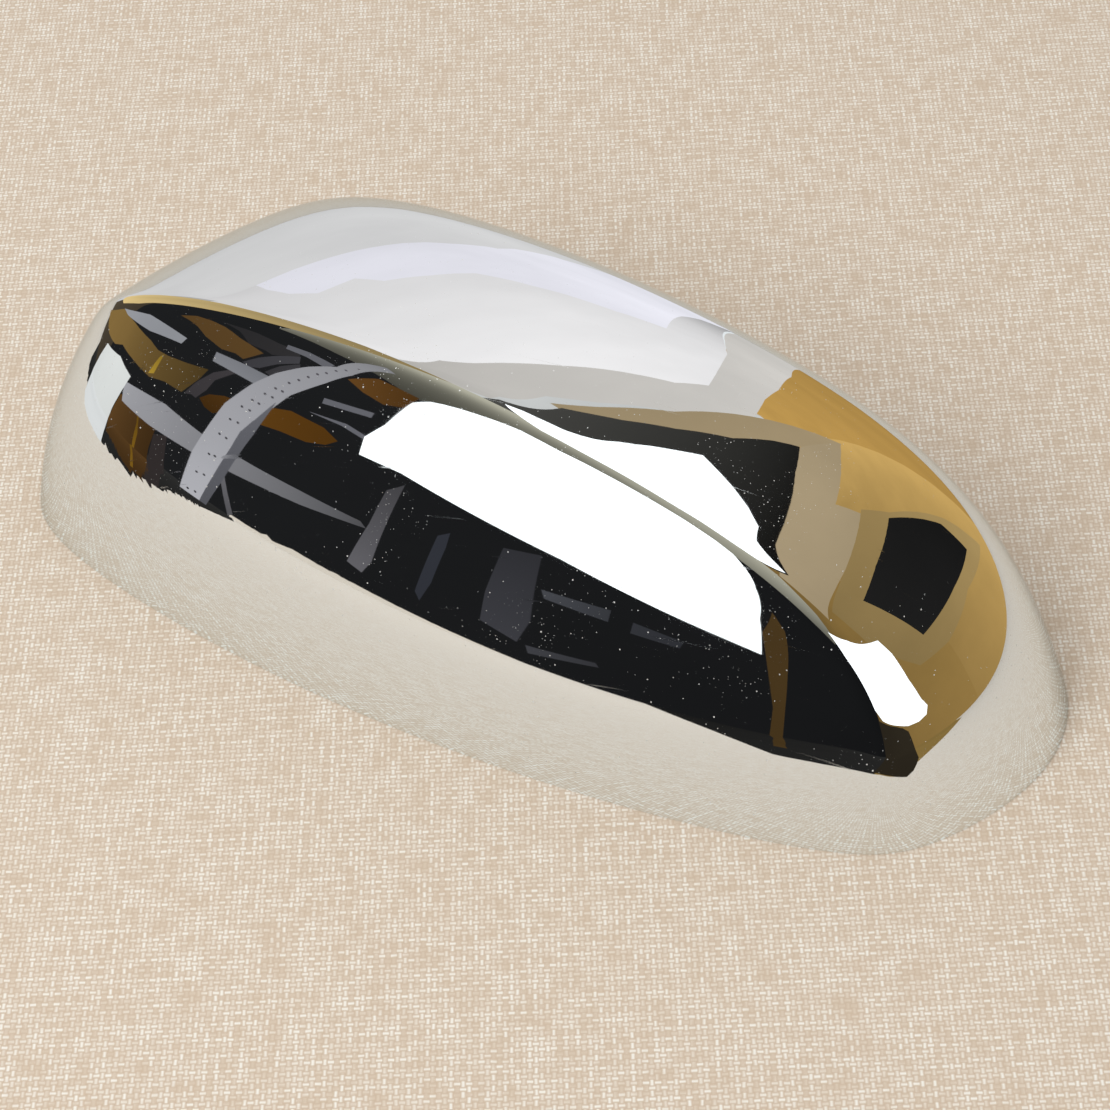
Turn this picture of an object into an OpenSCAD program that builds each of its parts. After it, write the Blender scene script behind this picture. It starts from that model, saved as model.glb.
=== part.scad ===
// Wing mirror cover: one moulded shell, open below, that clips over the back of a door mirror.
// The long axis lies along X, the near side faces -Y and the rim stands on z = 0.
// The outside is the meeting of five curved faces, each given by a few sizes and blended into
// the next. The crease is where the top skin meets the front wall.

/* [Outline] */
// Length of the cover at its rim
cover_l = 250; // [225:1:280]
// How far the right end face stands beyond half the length before it is blended
right_room = 7.6; // [5:0.1:10]
// How far the left end face stands beyond half the length before it is blended
left_room = 10.1; // [7:0.1:13]
// Distance of the near rim from the long axis at its fullest
near_w = 45.6; // [40:0.1:55]
// Where along the length the near rim is fullest
near_mid = 57; // [40:1:70]
// Radius of the near rim in plan
near_plan_r = 476; // [400:4:600]
// Distance of the far rim from the long axis at the middle
far_w = 74; // [66:0.5:84]
// Angle by which the far rim closes towards the right end
far_taper = 13.9; // [10:0.1:16]

/* [Near and far walls] */
// Lean of the front wall at the rim
front_lean = 17.9; // [14:0.1:22]
// Radius of the front wall, looking along the cover
front_bow_r = 127; // [110:1:150]
// Lean of the far wall at the rim
far_lean = 3.6; // [2:0.1:8]
// Radius of the far wall, looking along the cover
far_bow_r = 264; // [200:1:340]

/* [Top] */
// Height of the top face over the middle of the long axis
top_h = 74.5; // [66:0.1:84]
// Fall of the top face towards the right end
top_fall = 2.6; // [1:0.1:4]
// Rise of the top face towards the far side
top_rise = 13.6; // [11:0.1:16]
// Radius of the top face along the cover
top_long_r = 550; // [460:5:700]
// Radius of the top face across the cover
top_cross_r = 390; // [320:2:480]
// Twist of the top face, as the radius of its saddle
top_twist_r = 433; // [380:1:520]
// Length over which the twist changes along the cover
top_change_l = 400; // [350:1:480]

/* [Ends] */
// Lean of the right end at the rim
right_lean = 15.4; // [12:0.1:18]
// Turn of the right end in plan
right_turn = 12.3; // [9:0.1:16]
// Radius of the right end in plan
right_plan_r = 51; // [46:0.5:58]
// Radius of the right end, looking across the cover
right_bow_r = 376; // [300:2:460]
// Lean of the left end at the rim
left_lean = 2.3; // [0:0.1:5]
// Turn of the left end in plan
left_turn = 9; // [6:0.5:12]
// Radius of the left end in plan
left_plan_r = 113; // [95:1:130]
// Radius of the left end, looking across the cover
left_bow_r = 219; // [180:1:270]
// Twist of the left end, as the radius of its saddle
left_twist_r = 331; // [280:1:400]

/* [Blends] */
// Width of the blend between the top and the far wall
far_blend = 16; // [12:0.1:20]
// Width of the blend round the right end
right_blend = 34; // [28:0.5:40]
// Width of the blend round the left end
left_blend = 20.6; // [16:0.1:26]
// Width of the crease along its upper run
crease_blend = 1.3; // [1:0.1:3]
// Width that the crease gains on its way down to the rim
crease_fade = 7.7; // [4:0.1:11]
// Height at which the crease has its full sharpness
crease_fade_h = 62; // [50:1:70]

/* [Moulding] */
// Wall thickness
wall = 2.5; // [2:0.1:3.2]
// Thickness of a stiffening rib
rib_t = 1.6; // [1.2:0.1:2]
// Depth of a stiffening rib below the wall
rib_h = 4; // [3:0.5:6]
// Distance of the cross ribs from the middle of the cover
rib_x = 24; // [18:1:30]

/* [Snap tabs] */
// Width of a snap tab
tab_w = 12; // [9:0.5:15]
// Thickness of a snap tab
tab_t = 2; // [1.6:0.1:2.6]
// Clear depth between the rim and the foot of a tab
tab_foot = 5; // [3:0.5:8]
// Clear gap between the wall and a tab, at the foot of the tab
tab_gap = 7; // [5:0.5:9]
// How far the nose of a tab stands out
nose_out = 1.8; // [1.2:0.1:2.4]
// Height of the nose of a tab
nose_h = 5; // [4:0.5:6]
// Thickness of the webs beside a tab
web_t = 1.4; // [1:0.1:2]
// Clear height between the nose of a tab and its webs
web_rise = 4; // [3:0.5:6]

/* [Locating pins] */
// Diameter of a locating pin
pin_d = 5; // [4:0.1:6]
// Clear depth between the rim and the end of a pin
pin_foot = 12; // [8:0.5:18]
// Place of the left pin along the cover
pin_x = -68; // [-74:1:-60]
// Distance between the two pins
pin_pitch = 124; // [110:1:134]
// Place of the pins across the cover
pin_y = 20; // [16:1:26]
// Height of a pin from its end to its shoulder
pin_bare = 12; // [10:0.5:16]
// Height and depth of the taper that leads a pin into its hole
pin_lead = 1; // [0.5:0.1:1.5]
// Diameter of the boss that carries a pin
boss_d = 7.6; // [6.5:0.1:9]
// Thickness of the fins on a boss
fin_t = 1.4; // [1:0.1:2]
// Width across the fins of a boss
fin_w = 15; // [12:0.5:18]

/* [Hidden] */
right_x = cover_l/2+right_room;
left_x = cover_l/2+left_room;

// Count of the cells of the skin along the cover, and across it on each side of the crease
column_count = 52;
near_count = 13;
far_count = 19;
// Most that a sweep angle can be, and how far from zero the crease is looked for
sweep_angle = 90;
crease_angle = 60;
// Half the sweep angle of the narrow rows of cells that follow the crease
row_angle = 1.6;
// The rays that find the skin leave this point on the rim plane
hub = [0, (far_w-near_w)/2, 0];
// Reach of the rays along, across and up
reach = [cover_l/2, (far_w+near_w)/2, top_h];
// Angle by which the grid of rays is turned to bring the crease near its middle row
grid_angle = -36;
// Two first guesses of a ray's length, in lengths of the direction that it is given
guesses = [1.5, 1.3];
// Count of the steps of the two root searches
secant_count = 9;
halving_count = 12;
// Small step that measures the slope of the skin
probe = 0.02;
// Count of the steps along the edge of a web or a rib that follow the wall
edge_count = 6;
rib_count = 12;

// Bearings of the snap tabs round the rim, seen from the hub
tab_bearings = [-152, -112, -62, -30, 8, 44, 88, 124, 170];
// Height from the shoulder of a pin to the foot of its fins
fin_step = 2;
// The ribs follow the wall between these distances from the hub
rib_span = [-26, 40];
long_rib_y = pin_y;

// Blends two faces into one, with a hyperbola of the given width where they cross
function blend(a, b, w) = (a+b+sqrt((a-b)*(a-b)+w*w))/2;

// Each face is negative inside the cover, zero on the face and about a distance near it
function front_face(x, y, z) =
    -y-near_w+(x-near_mid)*(x-near_mid)/2/near_plan_r+z*z/2/front_bow_r+z*tan(front_lean);
function top_face(x, y, z) =
    z-top_h+x*tan(top_fall)-y*tan(top_rise)+x*x/2/top_long_r+y*y/2/top_cross_r
    -x*y/top_twist_r+x*x*y/top_change_l/top_change_l;
function far_face(x, y, z) = y-far_w+x*tan(far_taper)+z*z/2/far_bow_r+z*tan(far_lean);
function right_face(x, y, z) =
    x-right_x-y*tan(right_turn)+y*y/2/right_plan_r+z*z/2/right_bow_r+z*tan(right_lean);
function left_face(x, y, z) =
    -x-left_x+y*tan(left_turn)+y*y/2/left_plan_r+z*z/2/left_bow_r+z*tan(left_lean)+y*z/left_twist_r;

// The top face with the far wall and the right end, which the front wall cuts along the crease
function top_skin(x, y, z) =
    blend(blend(top_face(x, y, z), far_face(x, y, z), far_blend), right_face(x, y, z), right_blend);
function crease_w(z) =
    let (rest = max(0, 1-z/crease_fade_h))
    crease_blend+crease_fade*rest*rest;
function skin(p) =
    let (x = p[0], y = p[1], z = p[2])
    blend(blend(top_skin(x, y, z), front_face(x, y, z), crease_w(z)), left_face(x, y, z), left_blend);

// How many times a direction reaches from a point to the skin, by the secant rule
function close_in(from, dir, r0, f0, r1, f1, n) =
    n == 0 || abs(f1-f0) < 1e-12 ? r1 :
    let (r2 = r1-f1*(r1-r0)/(f1-f0))
    close_in(from, dir, r1, f1, r2, skin(from+r2*dir), n-1);
function to_skin(from, dir) =
    let (r0 = guesses[0], r1 = guesses[1])
    close_in(from, dir, r0, skin(from+r0*dir), r1, skin(from+r1*dir), secant_count);

// Direction of the ray at sweep angles s along and t across, both from -90 to 90
function ray(s, t) =
    let (
        u = sin(s), v = sin(t),
        p = u*sqrt(1-v*v/2), q = v*sqrt(1-u*u/2),
        a = p*cos(grid_angle)-q*sin(grid_angle), b = p*sin(grid_angle)+q*cos(grid_angle)
    )
    [reach[0]*a, reach[1]*b, reach[2]*cos(s)*cos(t)];
function skin_point(s, t) =
    let (d = ray(s, t))
    hub+d*to_skin(hub, d);

// Sweep angle across at which a column of rays meets the crease, by halving
function beyond_crease(s, t) =
    let (p = skin_point(s, t))
    top_skin(p[0], p[1], p[2]) > front_face(p[0], p[1], p[2]);
function crease_at(s, low, high, n) =
    let (mid = (low+high)/2)
    n == 0 ? mid :
    beyond_crease(s, mid) ? crease_at(s, low, mid, n-1) : crease_at(s, mid, high, n-1);

// Rows of cells close in on the crease from both sides
row_count = near_count+far_count+2;
function row_at(j, c) =
    j <= near_count ? -sweep_angle+(c-row_angle+sweep_angle)*j/near_count :
    j == near_count+1 ? c :
    c+row_angle+(sweep_angle-c-row_angle)*(j-near_count-2)/far_count;

function unit(v) = v/norm(v);
function slope(p) =
    let (f = skin(p))
    unit([skin(p+[probe, 0, 0])-f, skin(p+[0, probe, 0])-f, skin(p+[0, 0, probe])-f]);
// A point one depth behind the skin, which stays above the rim plane on its way down to the rim
function behind(p, depth) =
    let (
        n = slope(p),
        drop = min(depth*n[2], p[2]/2),
        side = sqrt(depth*depth-drop*drop)/max(norm([n[0], n[1]]), 1e-6)
    )
    p-[side*n[0], side*n[1], drop];

outside = [
    for (i = [0:column_count])
        let (
            s = sweep_angle*(2*i/column_count-1),
            c = crease_at(s, -crease_angle, crease_angle, halving_count)
        )
        for (j = [0:row_count]) skin_point(s, row_at(j, c))
];
inside = [for (p = outside) behind(p, wall)];

// The finished cover stands with the middle of its box, in plan, on the origin
function middle(axis) =
    let (places = [for (p = outside) p[axis]])
    (min(places)+max(places))/2;

// Closed shell from two like grids of points and the strip between their edges
module shell() {
    across = row_count+1;
    count = len(outside);
    function at(i, j) = i*across+j;
    function cell(a, b, c, d) = [[a, b, c], [a, c, d]];
    edge = [
        for (i = [0:column_count-1]) at(i, 0),
        for (j = [0:row_count-1]) at(column_count, j),
        for (i = [0:column_count-1]) at(column_count-i, row_count),
        for (j = [0:row_count-1]) at(0, row_count-j)
    ];
    grid = [
        for (i = [0:column_count-1]) for (j = [0:row_count-1])
            each cell(at(i, j), at(i, j+1), at(i+1, j+1), at(i+1, j))
    ];
    back = [for (f = grid) [f[2]+count, f[1]+count, f[0]+count]];
    strip = [
        for (k = [0:len(edge)-1])
            let (a = edge[k], b = edge[(k+1)%len(edge)])
            each cell(a, b, b+count, a+count)
    ];
    polyhedron(points = concat(outside, inside), faces = concat(grid, back, strip), convexity = 6);
}

// Height of the middle of the wall over a point in plan, where what hangs inside takes root
function root_z(x, y) =
    let (z = top_h*to_skin([x, y, 0], [0, 0, top_h]), n = slope([x, y, z]))
    z-wall/2/n[2];

// Frame of a tab: where its back stands in plan, and the outward direction of the wall there
function tab_frame(bearing) =
    let (
        out = [cos(bearing), sin(bearing), 0],
        low = hub+[0, 0, tab_foot],
        far = out*cover_l/2,
        p = low+far*to_skin(low, far),
        n = slope(p),
        flat = unit([n[0], n[1], 0])
    )
    [p-flat*(wall+tab_gap), flat];

// A springy tongue with a nose at its foot, and two webs that tie it to the wall
module snap_tab(bearing) {
    frame = tab_frame(bearing);
    out = frame[1];
    aside = [-out[1], out[0], 0];
    // Point in plan at a reach r outwards from the back of the tab and w along it
    function plan(r, w) = frame[0]+r*out+w*aside;
    function root(r, w) = let (p = plan(r, w)) root_z(p[0], p[1]);
    // Reach from the back of the tab to the middle of the wall at height z
    function wall_at(w, z) =
        let (
            from = [plan(0, w)[0], plan(0, w)[1], z],
            gap = tab_gap+wall,
            r = gap*to_skin(from, gap*out),
            n = slope(from+r*out)
        )
        r-wall/2/(n*out);
    half = tab_w/2;
    core = -tab_t/2;
    web_foot = tab_foot+nose_h+web_rise;
    tongue = [
        [-half, tab_foot], [half, tab_foot],
        for (k = [0:edge_count])
            let (w = half-tab_w*k/edge_count)
            [w, root(core, w)]
    ];
    nose = [
        [core, tab_foot], [-tab_t, tab_foot], [-tab_t-nose_out, tab_foot+0.6*nose_h],
        [-tab_t-nose_out, tab_foot+0.75*nose_h], [core, tab_foot+nose_h]
    ];
    function web(w) =
        let (top = root(core, w))
        [
            [core, web_foot], [core, top],
            for (k = [0:edge_count])
                let (z = root(0, w)+(web_foot-root(0, w))*k/edge_count)
                [wall_at(w, z), z]
        ];
    translate([frame[0][0], frame[0][1], 0]) rotate([0, 0, atan2(out[1], out[0])]) {
        translate([core, 0, 0]) rotate([90, 0, 90])
            linear_extrude(tab_t, center = true) polygon(tongue);
        rotate([90, 0, 0])
            linear_extrude(tab_w, center = true) polygon(nose);
        for (w = [web_t/2-half, half-web_t/2])
            translate([0, w, 0]) rotate([90, 0, 0])
                linear_extrude(web_t, center = true) polygon(web(w));
    }
}

// A fin through the axis of a boss, along the given direction in plan
module boss_fin(x, along) {
    half = fin_w/2;
    foot = pin_foot+pin_bare+fin_step;
    function root(r) = root_z(x+r*along[0], pin_y+r*along[1]);
    fin = [
        [-boss_d/4, foot], [boss_d/4, foot], [half, foot+half],
        [half, root(half)], [0, root(0)], [-half, root(-half)], [-half, foot+half]
    ];
    translate([x, pin_y, 0]) rotate([0, 0, atan2(along[1], along[0])]) rotate([90, 0, 0])
        linear_extrude(fin_t, center = true) polygon(fin);
}

// A round pin with a tapered end, on a boss with crossed fins
module locating_pin(x) {
    shoulder = pin_foot+pin_bare;
    root = root_z(x, pin_y);
    translate([x, pin_y, pin_foot])
        cylinder(d1 = pin_d-2*pin_lead, d2 = pin_d, h = pin_lead, $fn = 48);
    translate([x, pin_y, pin_foot+pin_lead])
        cylinder(d = pin_d, h = root-pin_foot-pin_lead, $fn = 48);
    translate([x, pin_y, shoulder])
        cylinder(d = boss_d, h = root-shoulder, $fn = 48);
    boss_fin(x, [1, 0]);
    boss_fin(x, [0, 1]);
}

// A rib that hangs from the wall along a line in plan
module rib(from, to) {
    length = norm(to-from);
    function root(k) = let (p = from+(to-from)*k/rib_count) root_z(p[0], p[1]);
    depth = wall/2+rib_h;
    profile = [
        for (k = [0:rib_count]) [length*k/rib_count, root(k)],
        for (k = [0:rib_count]) [length*(1-k/rib_count), root(rib_count-k)-depth]
    ];
    turn = atan2(to[1]-from[1], to[0]-from[0]);
    translate([from[0], from[1], 0]) rotate([0, 0, turn]) rotate([90, 0, 0])
        linear_extrude(rib_t, center = true) polygon(profile);
}

module cover() {
    color("silver") translate([-middle(0), -middle(1), 0]) {
        shell();
        for (bearing = tab_bearings) snap_tab(bearing);
        for (x = [pin_x, pin_x+pin_pitch]) locating_pin(x);
        for (x = [-rib_x, rib_x])
            rib([x, hub[1]+rib_span[0]], [x, hub[1]+rib_span[1]]);
        rib([pin_x, long_rib_y], [pin_x+pin_pitch, long_rib_y]);
    }
}

cover();
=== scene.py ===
"""Wing mirror cover in mirror plating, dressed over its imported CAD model.

The moulding is one mesh. Its outside is found on the same five blended faces that the CAD model
is made from, on a much finer grid, and its fittings take the same sizes.
"""

import random
from contextlib import contextmanager
from math import atan2, cos, pi, radians, sin, sqrt, tan

import bmesh
import bpy
from bpy.props import FloatProperty, FloatVectorProperty, IntProperty, PointerProperty
from bpy.types import Operator, Panel, PropertyGroup
from mathutils import Matrix, Vector


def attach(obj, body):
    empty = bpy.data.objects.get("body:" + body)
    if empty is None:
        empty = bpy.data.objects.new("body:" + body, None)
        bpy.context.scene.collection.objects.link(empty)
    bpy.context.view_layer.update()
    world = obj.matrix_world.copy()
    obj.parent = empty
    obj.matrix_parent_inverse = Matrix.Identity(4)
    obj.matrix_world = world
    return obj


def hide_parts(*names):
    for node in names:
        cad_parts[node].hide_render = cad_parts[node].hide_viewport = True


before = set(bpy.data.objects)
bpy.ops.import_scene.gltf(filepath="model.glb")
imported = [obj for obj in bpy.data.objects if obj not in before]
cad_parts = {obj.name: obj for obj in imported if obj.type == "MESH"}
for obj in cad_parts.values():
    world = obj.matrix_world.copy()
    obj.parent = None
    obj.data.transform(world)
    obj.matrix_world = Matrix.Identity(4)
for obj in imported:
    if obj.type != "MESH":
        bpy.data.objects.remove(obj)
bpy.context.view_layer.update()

bl_info = {
    "name": "Wing Mirror Cover",
    "version": (1, 0, 0),
    "blender": (4, 5, 0),
    "location": "3D View > Sidebar > Mirror Cover",
    "description": "Builds a plated wing mirror cover and the stage it stands on",
    "category": "Object",
}

MOULDING = "cover_moulding"
NODE = "cover"
PLATED, SATIN = 0, 1

# Edges that turn by more than this are rounded on a fitting, and shaded sharp on the moulding
ROUND_ANGLE, SHARP_ANGLE = radians(25), radians(40)
# Distance at which points of a turned shape merge, and digits of a place in the flat grid
MERGE, GRID_DIGITS = 1e-6, 6
# How near to the skin a point of the mesh lies to take the skin's direction, and above which share
# of the rim's rounding
ON_SKIN, ABOVE_ROUNDING = 4e-5, 0.9
# Heights on a nose where it stands out fully, as shares of its height
NOSE_LOW, NOSE_HIGH = 0.6, 0.75


# Properties


def length(name, text, mm):
    """A length property, written in millimetres"""
    return FloatProperty(
        name=name, description=text, default=mm / 1000, precision=5, unit="LENGTH",
    )


def angle(name, text, degrees):
    """An angle property, written in degrees"""
    return FloatProperty(name=name, description=text, default=radians(degrees), subtype="ANGLE")


def colour(name, text, value):
    """A colour property, in linear values"""
    return FloatVectorProperty(
        name=name, description=text, default=value, subtype="COLOR", min=0, max=1,
    )


def share(name, text, value, top=1.0):
    """A plain number from zero up"""
    return FloatProperty(name=name, description=text, default=value, min=0, soft_max=top)


class CoverSkinSizes(PropertyGroup):
    """Sizes of the five faces that the outside is made of, and of the blends between them"""

    cover_l: length("Length", "Length of the cover at its rim", 250)
    right_room: length("Right room", "How far the right face stands beyond half the length", 7.6)
    left_room: length("Left room", "How far the left face stands beyond half the length", 10.1)
    near_w: length("Near width", "Distance of the near rim from the long axis", 45.6)
    near_mid: length("Near middle", "Where along the length the near rim is fullest", 57)
    near_plan_r: length("Near plan radius", "Radius of the near rim in plan", 476)
    far_w: length("Far width", "Distance of the far rim from the long axis", 74)
    far_taper: angle("Far taper", "Angle by which the far rim closes to the right", 13.9)
    front_lean: angle("Front lean", "Lean of the front wall at the rim", 17.9)
    front_bow_r: length("Front bow radius", "Radius of the front wall, seen along the cover", 127)
    far_lean: angle("Far lean", "Lean of the far wall at the rim", 3.6)
    far_bow_r: length("Far bow radius", "Radius of the far wall, seen along the cover", 264)
    top_h: length("Top height", "Height of the top face over the long axis", 74.5)
    top_fall: angle("Top fall", "Fall of the top face towards the right end", 2.6)
    top_rise: angle("Top rise", "Rise of the top face towards the far side", 13.6)
    top_long_r: length("Top long radius", "Radius of the top face along the cover", 550)
    top_cross_r: length("Top cross radius", "Radius of the top face across the cover", 390)
    top_twist_r: length("Top twist", "Twist of the top face, as a radius", 433)
    top_change_l: length("Twist change", "Length over which the twist changes", 400)
    right_lean: angle("Right lean", "Lean of the right end at the rim", 15.4)
    right_turn: angle("Right turn", "Turn of the right end in plan", 12.3)
    right_plan_r: length("Right plan radius", "Radius of the right end in plan", 51)
    right_bow_r: length("Right bow radius", "Radius of the right end, seen across", 376)
    left_lean: angle("Left lean", "Lean of the left end at the rim", 2.3)
    left_turn: angle("Left turn", "Turn of the left end in plan", 9)
    left_plan_r: length("Left plan radius", "Radius of the left end in plan", 113)
    left_bow_r: length("Left bow radius", "Radius of the left end, seen across", 219)
    left_twist_r: length("Left twist", "Twist of the left end, as a radius", 331)
    far_blend: length("Far blend", "Width of the blend between top and far wall", 16)
    right_blend: length("Right blend", "Width of the blend round the right end", 34)
    left_blend: length("Left blend", "Width of the blend round the left end", 20.6)
    crease_blend: length("Crease blend", "Width of the crease along its upper run", 1.3)
    crease_fade: length("Crease fade", "Width that the crease gains down to the rim", 7.7)
    crease_fade_h: length("Crease fade height", "Height where the crease is sharpest", 62)
    grid_turn: angle("Grid turn", "Turn of the grid of cells, so that it follows the crease", -36)
    middle_x: length("Middle X", "Middle of the cover's box along it", -1.68)
    middle_y: length("Middle Y", "Middle of the cover's box across it", 19.3402)
    columns: IntProperty(name="Columns", description="Cells along the cover", default=180)
    rows: IntProperty(name="Rows", description="Cells across the cover", default=120)
    crowding: share("Crowding", "Size of the cells at the crease, as a share of the mean", 0.06)


class CoverFittingSizes(PropertyGroup):
    """Sizes of the wall and of what is moulded inside it"""

    wall: length("Wall", "Wall thickness", 2.5)
    rim_round: length("Rim rounding", "Rounding of the rim's outer edge", 0.35)
    soft_edge: length("Soft edge", "Rounding of the edges inside", 0.22)
    rib_t: length("Rib thickness", "Thickness of a stiffening rib", 1.6)
    rib_h: length("Rib depth", "Depth of a stiffening rib below the wall", 4)
    rib_x: length("Rib place", "Distance of the cross ribs from the middle", 24)
    rib_near: length("Rib start", "Near end of a cross rib, from the hub", -26)
    rib_far: length("Rib end", "Far end of a cross rib, from the hub", 40)
    tab_w: length("Tab width", "Width of a snap tab", 12)
    tab_t: length("Tab thickness", "Thickness of a snap tab", 2)
    tab_foot: length("Tab foot", "Clear depth between the rim and a tab", 5)
    tab_gap: length("Tab gap", "Clear gap between the wall and a tab's foot", 7)
    nose_out: length("Nose", "How far the nose of a tab stands out", 1.8)
    nose_h: length("Nose height", "Height of the nose of a tab", 5)
    web_t: length("Web thickness", "Thickness of the webs beside a tab", 1.4)
    web_rise: length("Web rise", "Clear height between the nose and the webs", 4)
    pin_d: length("Pin diameter", "Diameter of a locating pin", 5)
    pin_foot: length("Pin foot", "Clear depth between the rim and a pin", 12)
    pin_x: length("Pin place", "Place of the left pin along the cover", -68)
    pin_pitch: length("Pin pitch", "Distance between the two pins", 124)
    pin_y: length("Pin offset", "Place of the pins across the cover", 20)
    pin_bare: length("Pin length", "Height of a pin from its end to its shoulder", 12)
    pin_lead: length("Pin lead", "Height of the taper at the end of a pin", 1)
    boss_d: length("Boss diameter", "Diameter of the boss that carries a pin", 7.6)
    fin_t: length("Fin thickness", "Thickness of the fins on a boss", 1.4)
    fin_w: length("Fin width", "Width across the fins of a boss", 15)
    fin_step: length("Fin step", "Height from the shoulder to the fins", 2)


class CoverFinish(PropertyGroup):
    """Colours and textures of the plating"""

    plate: colour("Plate", "Tint of what the bright plating mirrors", (0.86, 0.91, 0.93))
    # The edge tint is partly the metal's own tint seen edge on and partly painted shade: it darkens
    # the mirrored floor along the silhouette
    edge: colour("Edge", "Tint of the bright plating seen edge on", (0.78, 0.80, 0.80))
    plate_rough: share("Plate roughness", "Roughness of the bright plating", 0.008)
    film_rough: share("Film", "Roughness that a film of handling adds in patches", 0.014)
    dust: colour("Dust", "Colour of settled dust", (0.62, 0.61, 0.58))
    dust_grain: length("Dust spacing", "Mean distance between specks of dust", 1.4)
    dust_size: share("Dust size", "Radius of a speck, as a share of the spacing", 0.17)
    hair_l: length("Hairline spacing", "Mean distance between hairlines", 5)
    satin: colour("Satin", "Colour of the plating on the inside", (0.60, 0.60, 0.59))
    satin_rough: share("Satin roughness", "Roughness of the plating on the inside", 0.34)
    grain_l: length("Grain", "Size of the moulding grain on the inside", 0.35)


class StageSettings(PropertyGroup):
    """Floor, lights and camera"""

    floor: colour("Floor", "Colour of the floor", (0.62, 0.485, 0.355))
    thread: colour("Pale threads", "Colour of the floor's pale threads", (0.90, 0.86, 0.79))
    floor_l: length("Floor size", "Length of the floor's side", 12000)
    thread_l: length("Thread spacing", "Distance between two threads of the floor", 1.25)
    sky: colour("Sky", "Colour of the light from all round", (1.0, 1.0, 1.0))
    sky_level: share("Sky level", "Strength of the light from all round", 0.62)
    key_power: share("Key power", "Power of the large soft lamp, in watts", 15.0, 50)
    key_l: length("Key size", "Length of the large soft lamp's side", 1100)
    weave_turn: angle("Weave turn", "Turn of the floor's weave", 19)
    cam_bearing: angle("Camera bearing", "Turn of the camera round the cover", 22)
    cam_pitch: angle("Camera pitch", "Angle at which the camera looks down", 50.7)
    cam_roll: angle("Camera roll", "Roll of the camera about its own axis", -4.75)
    lens: FloatProperty(name="Lens", description="Focal length", default=95.03, unit="CAMERA")


# The skin


def blend(a, b, w):
    """Blends two faces into one, with a hyperbola of width w where they cross"""
    return (a + b + sqrt((a - b) * (a - b) + w * w)) / 2


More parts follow.
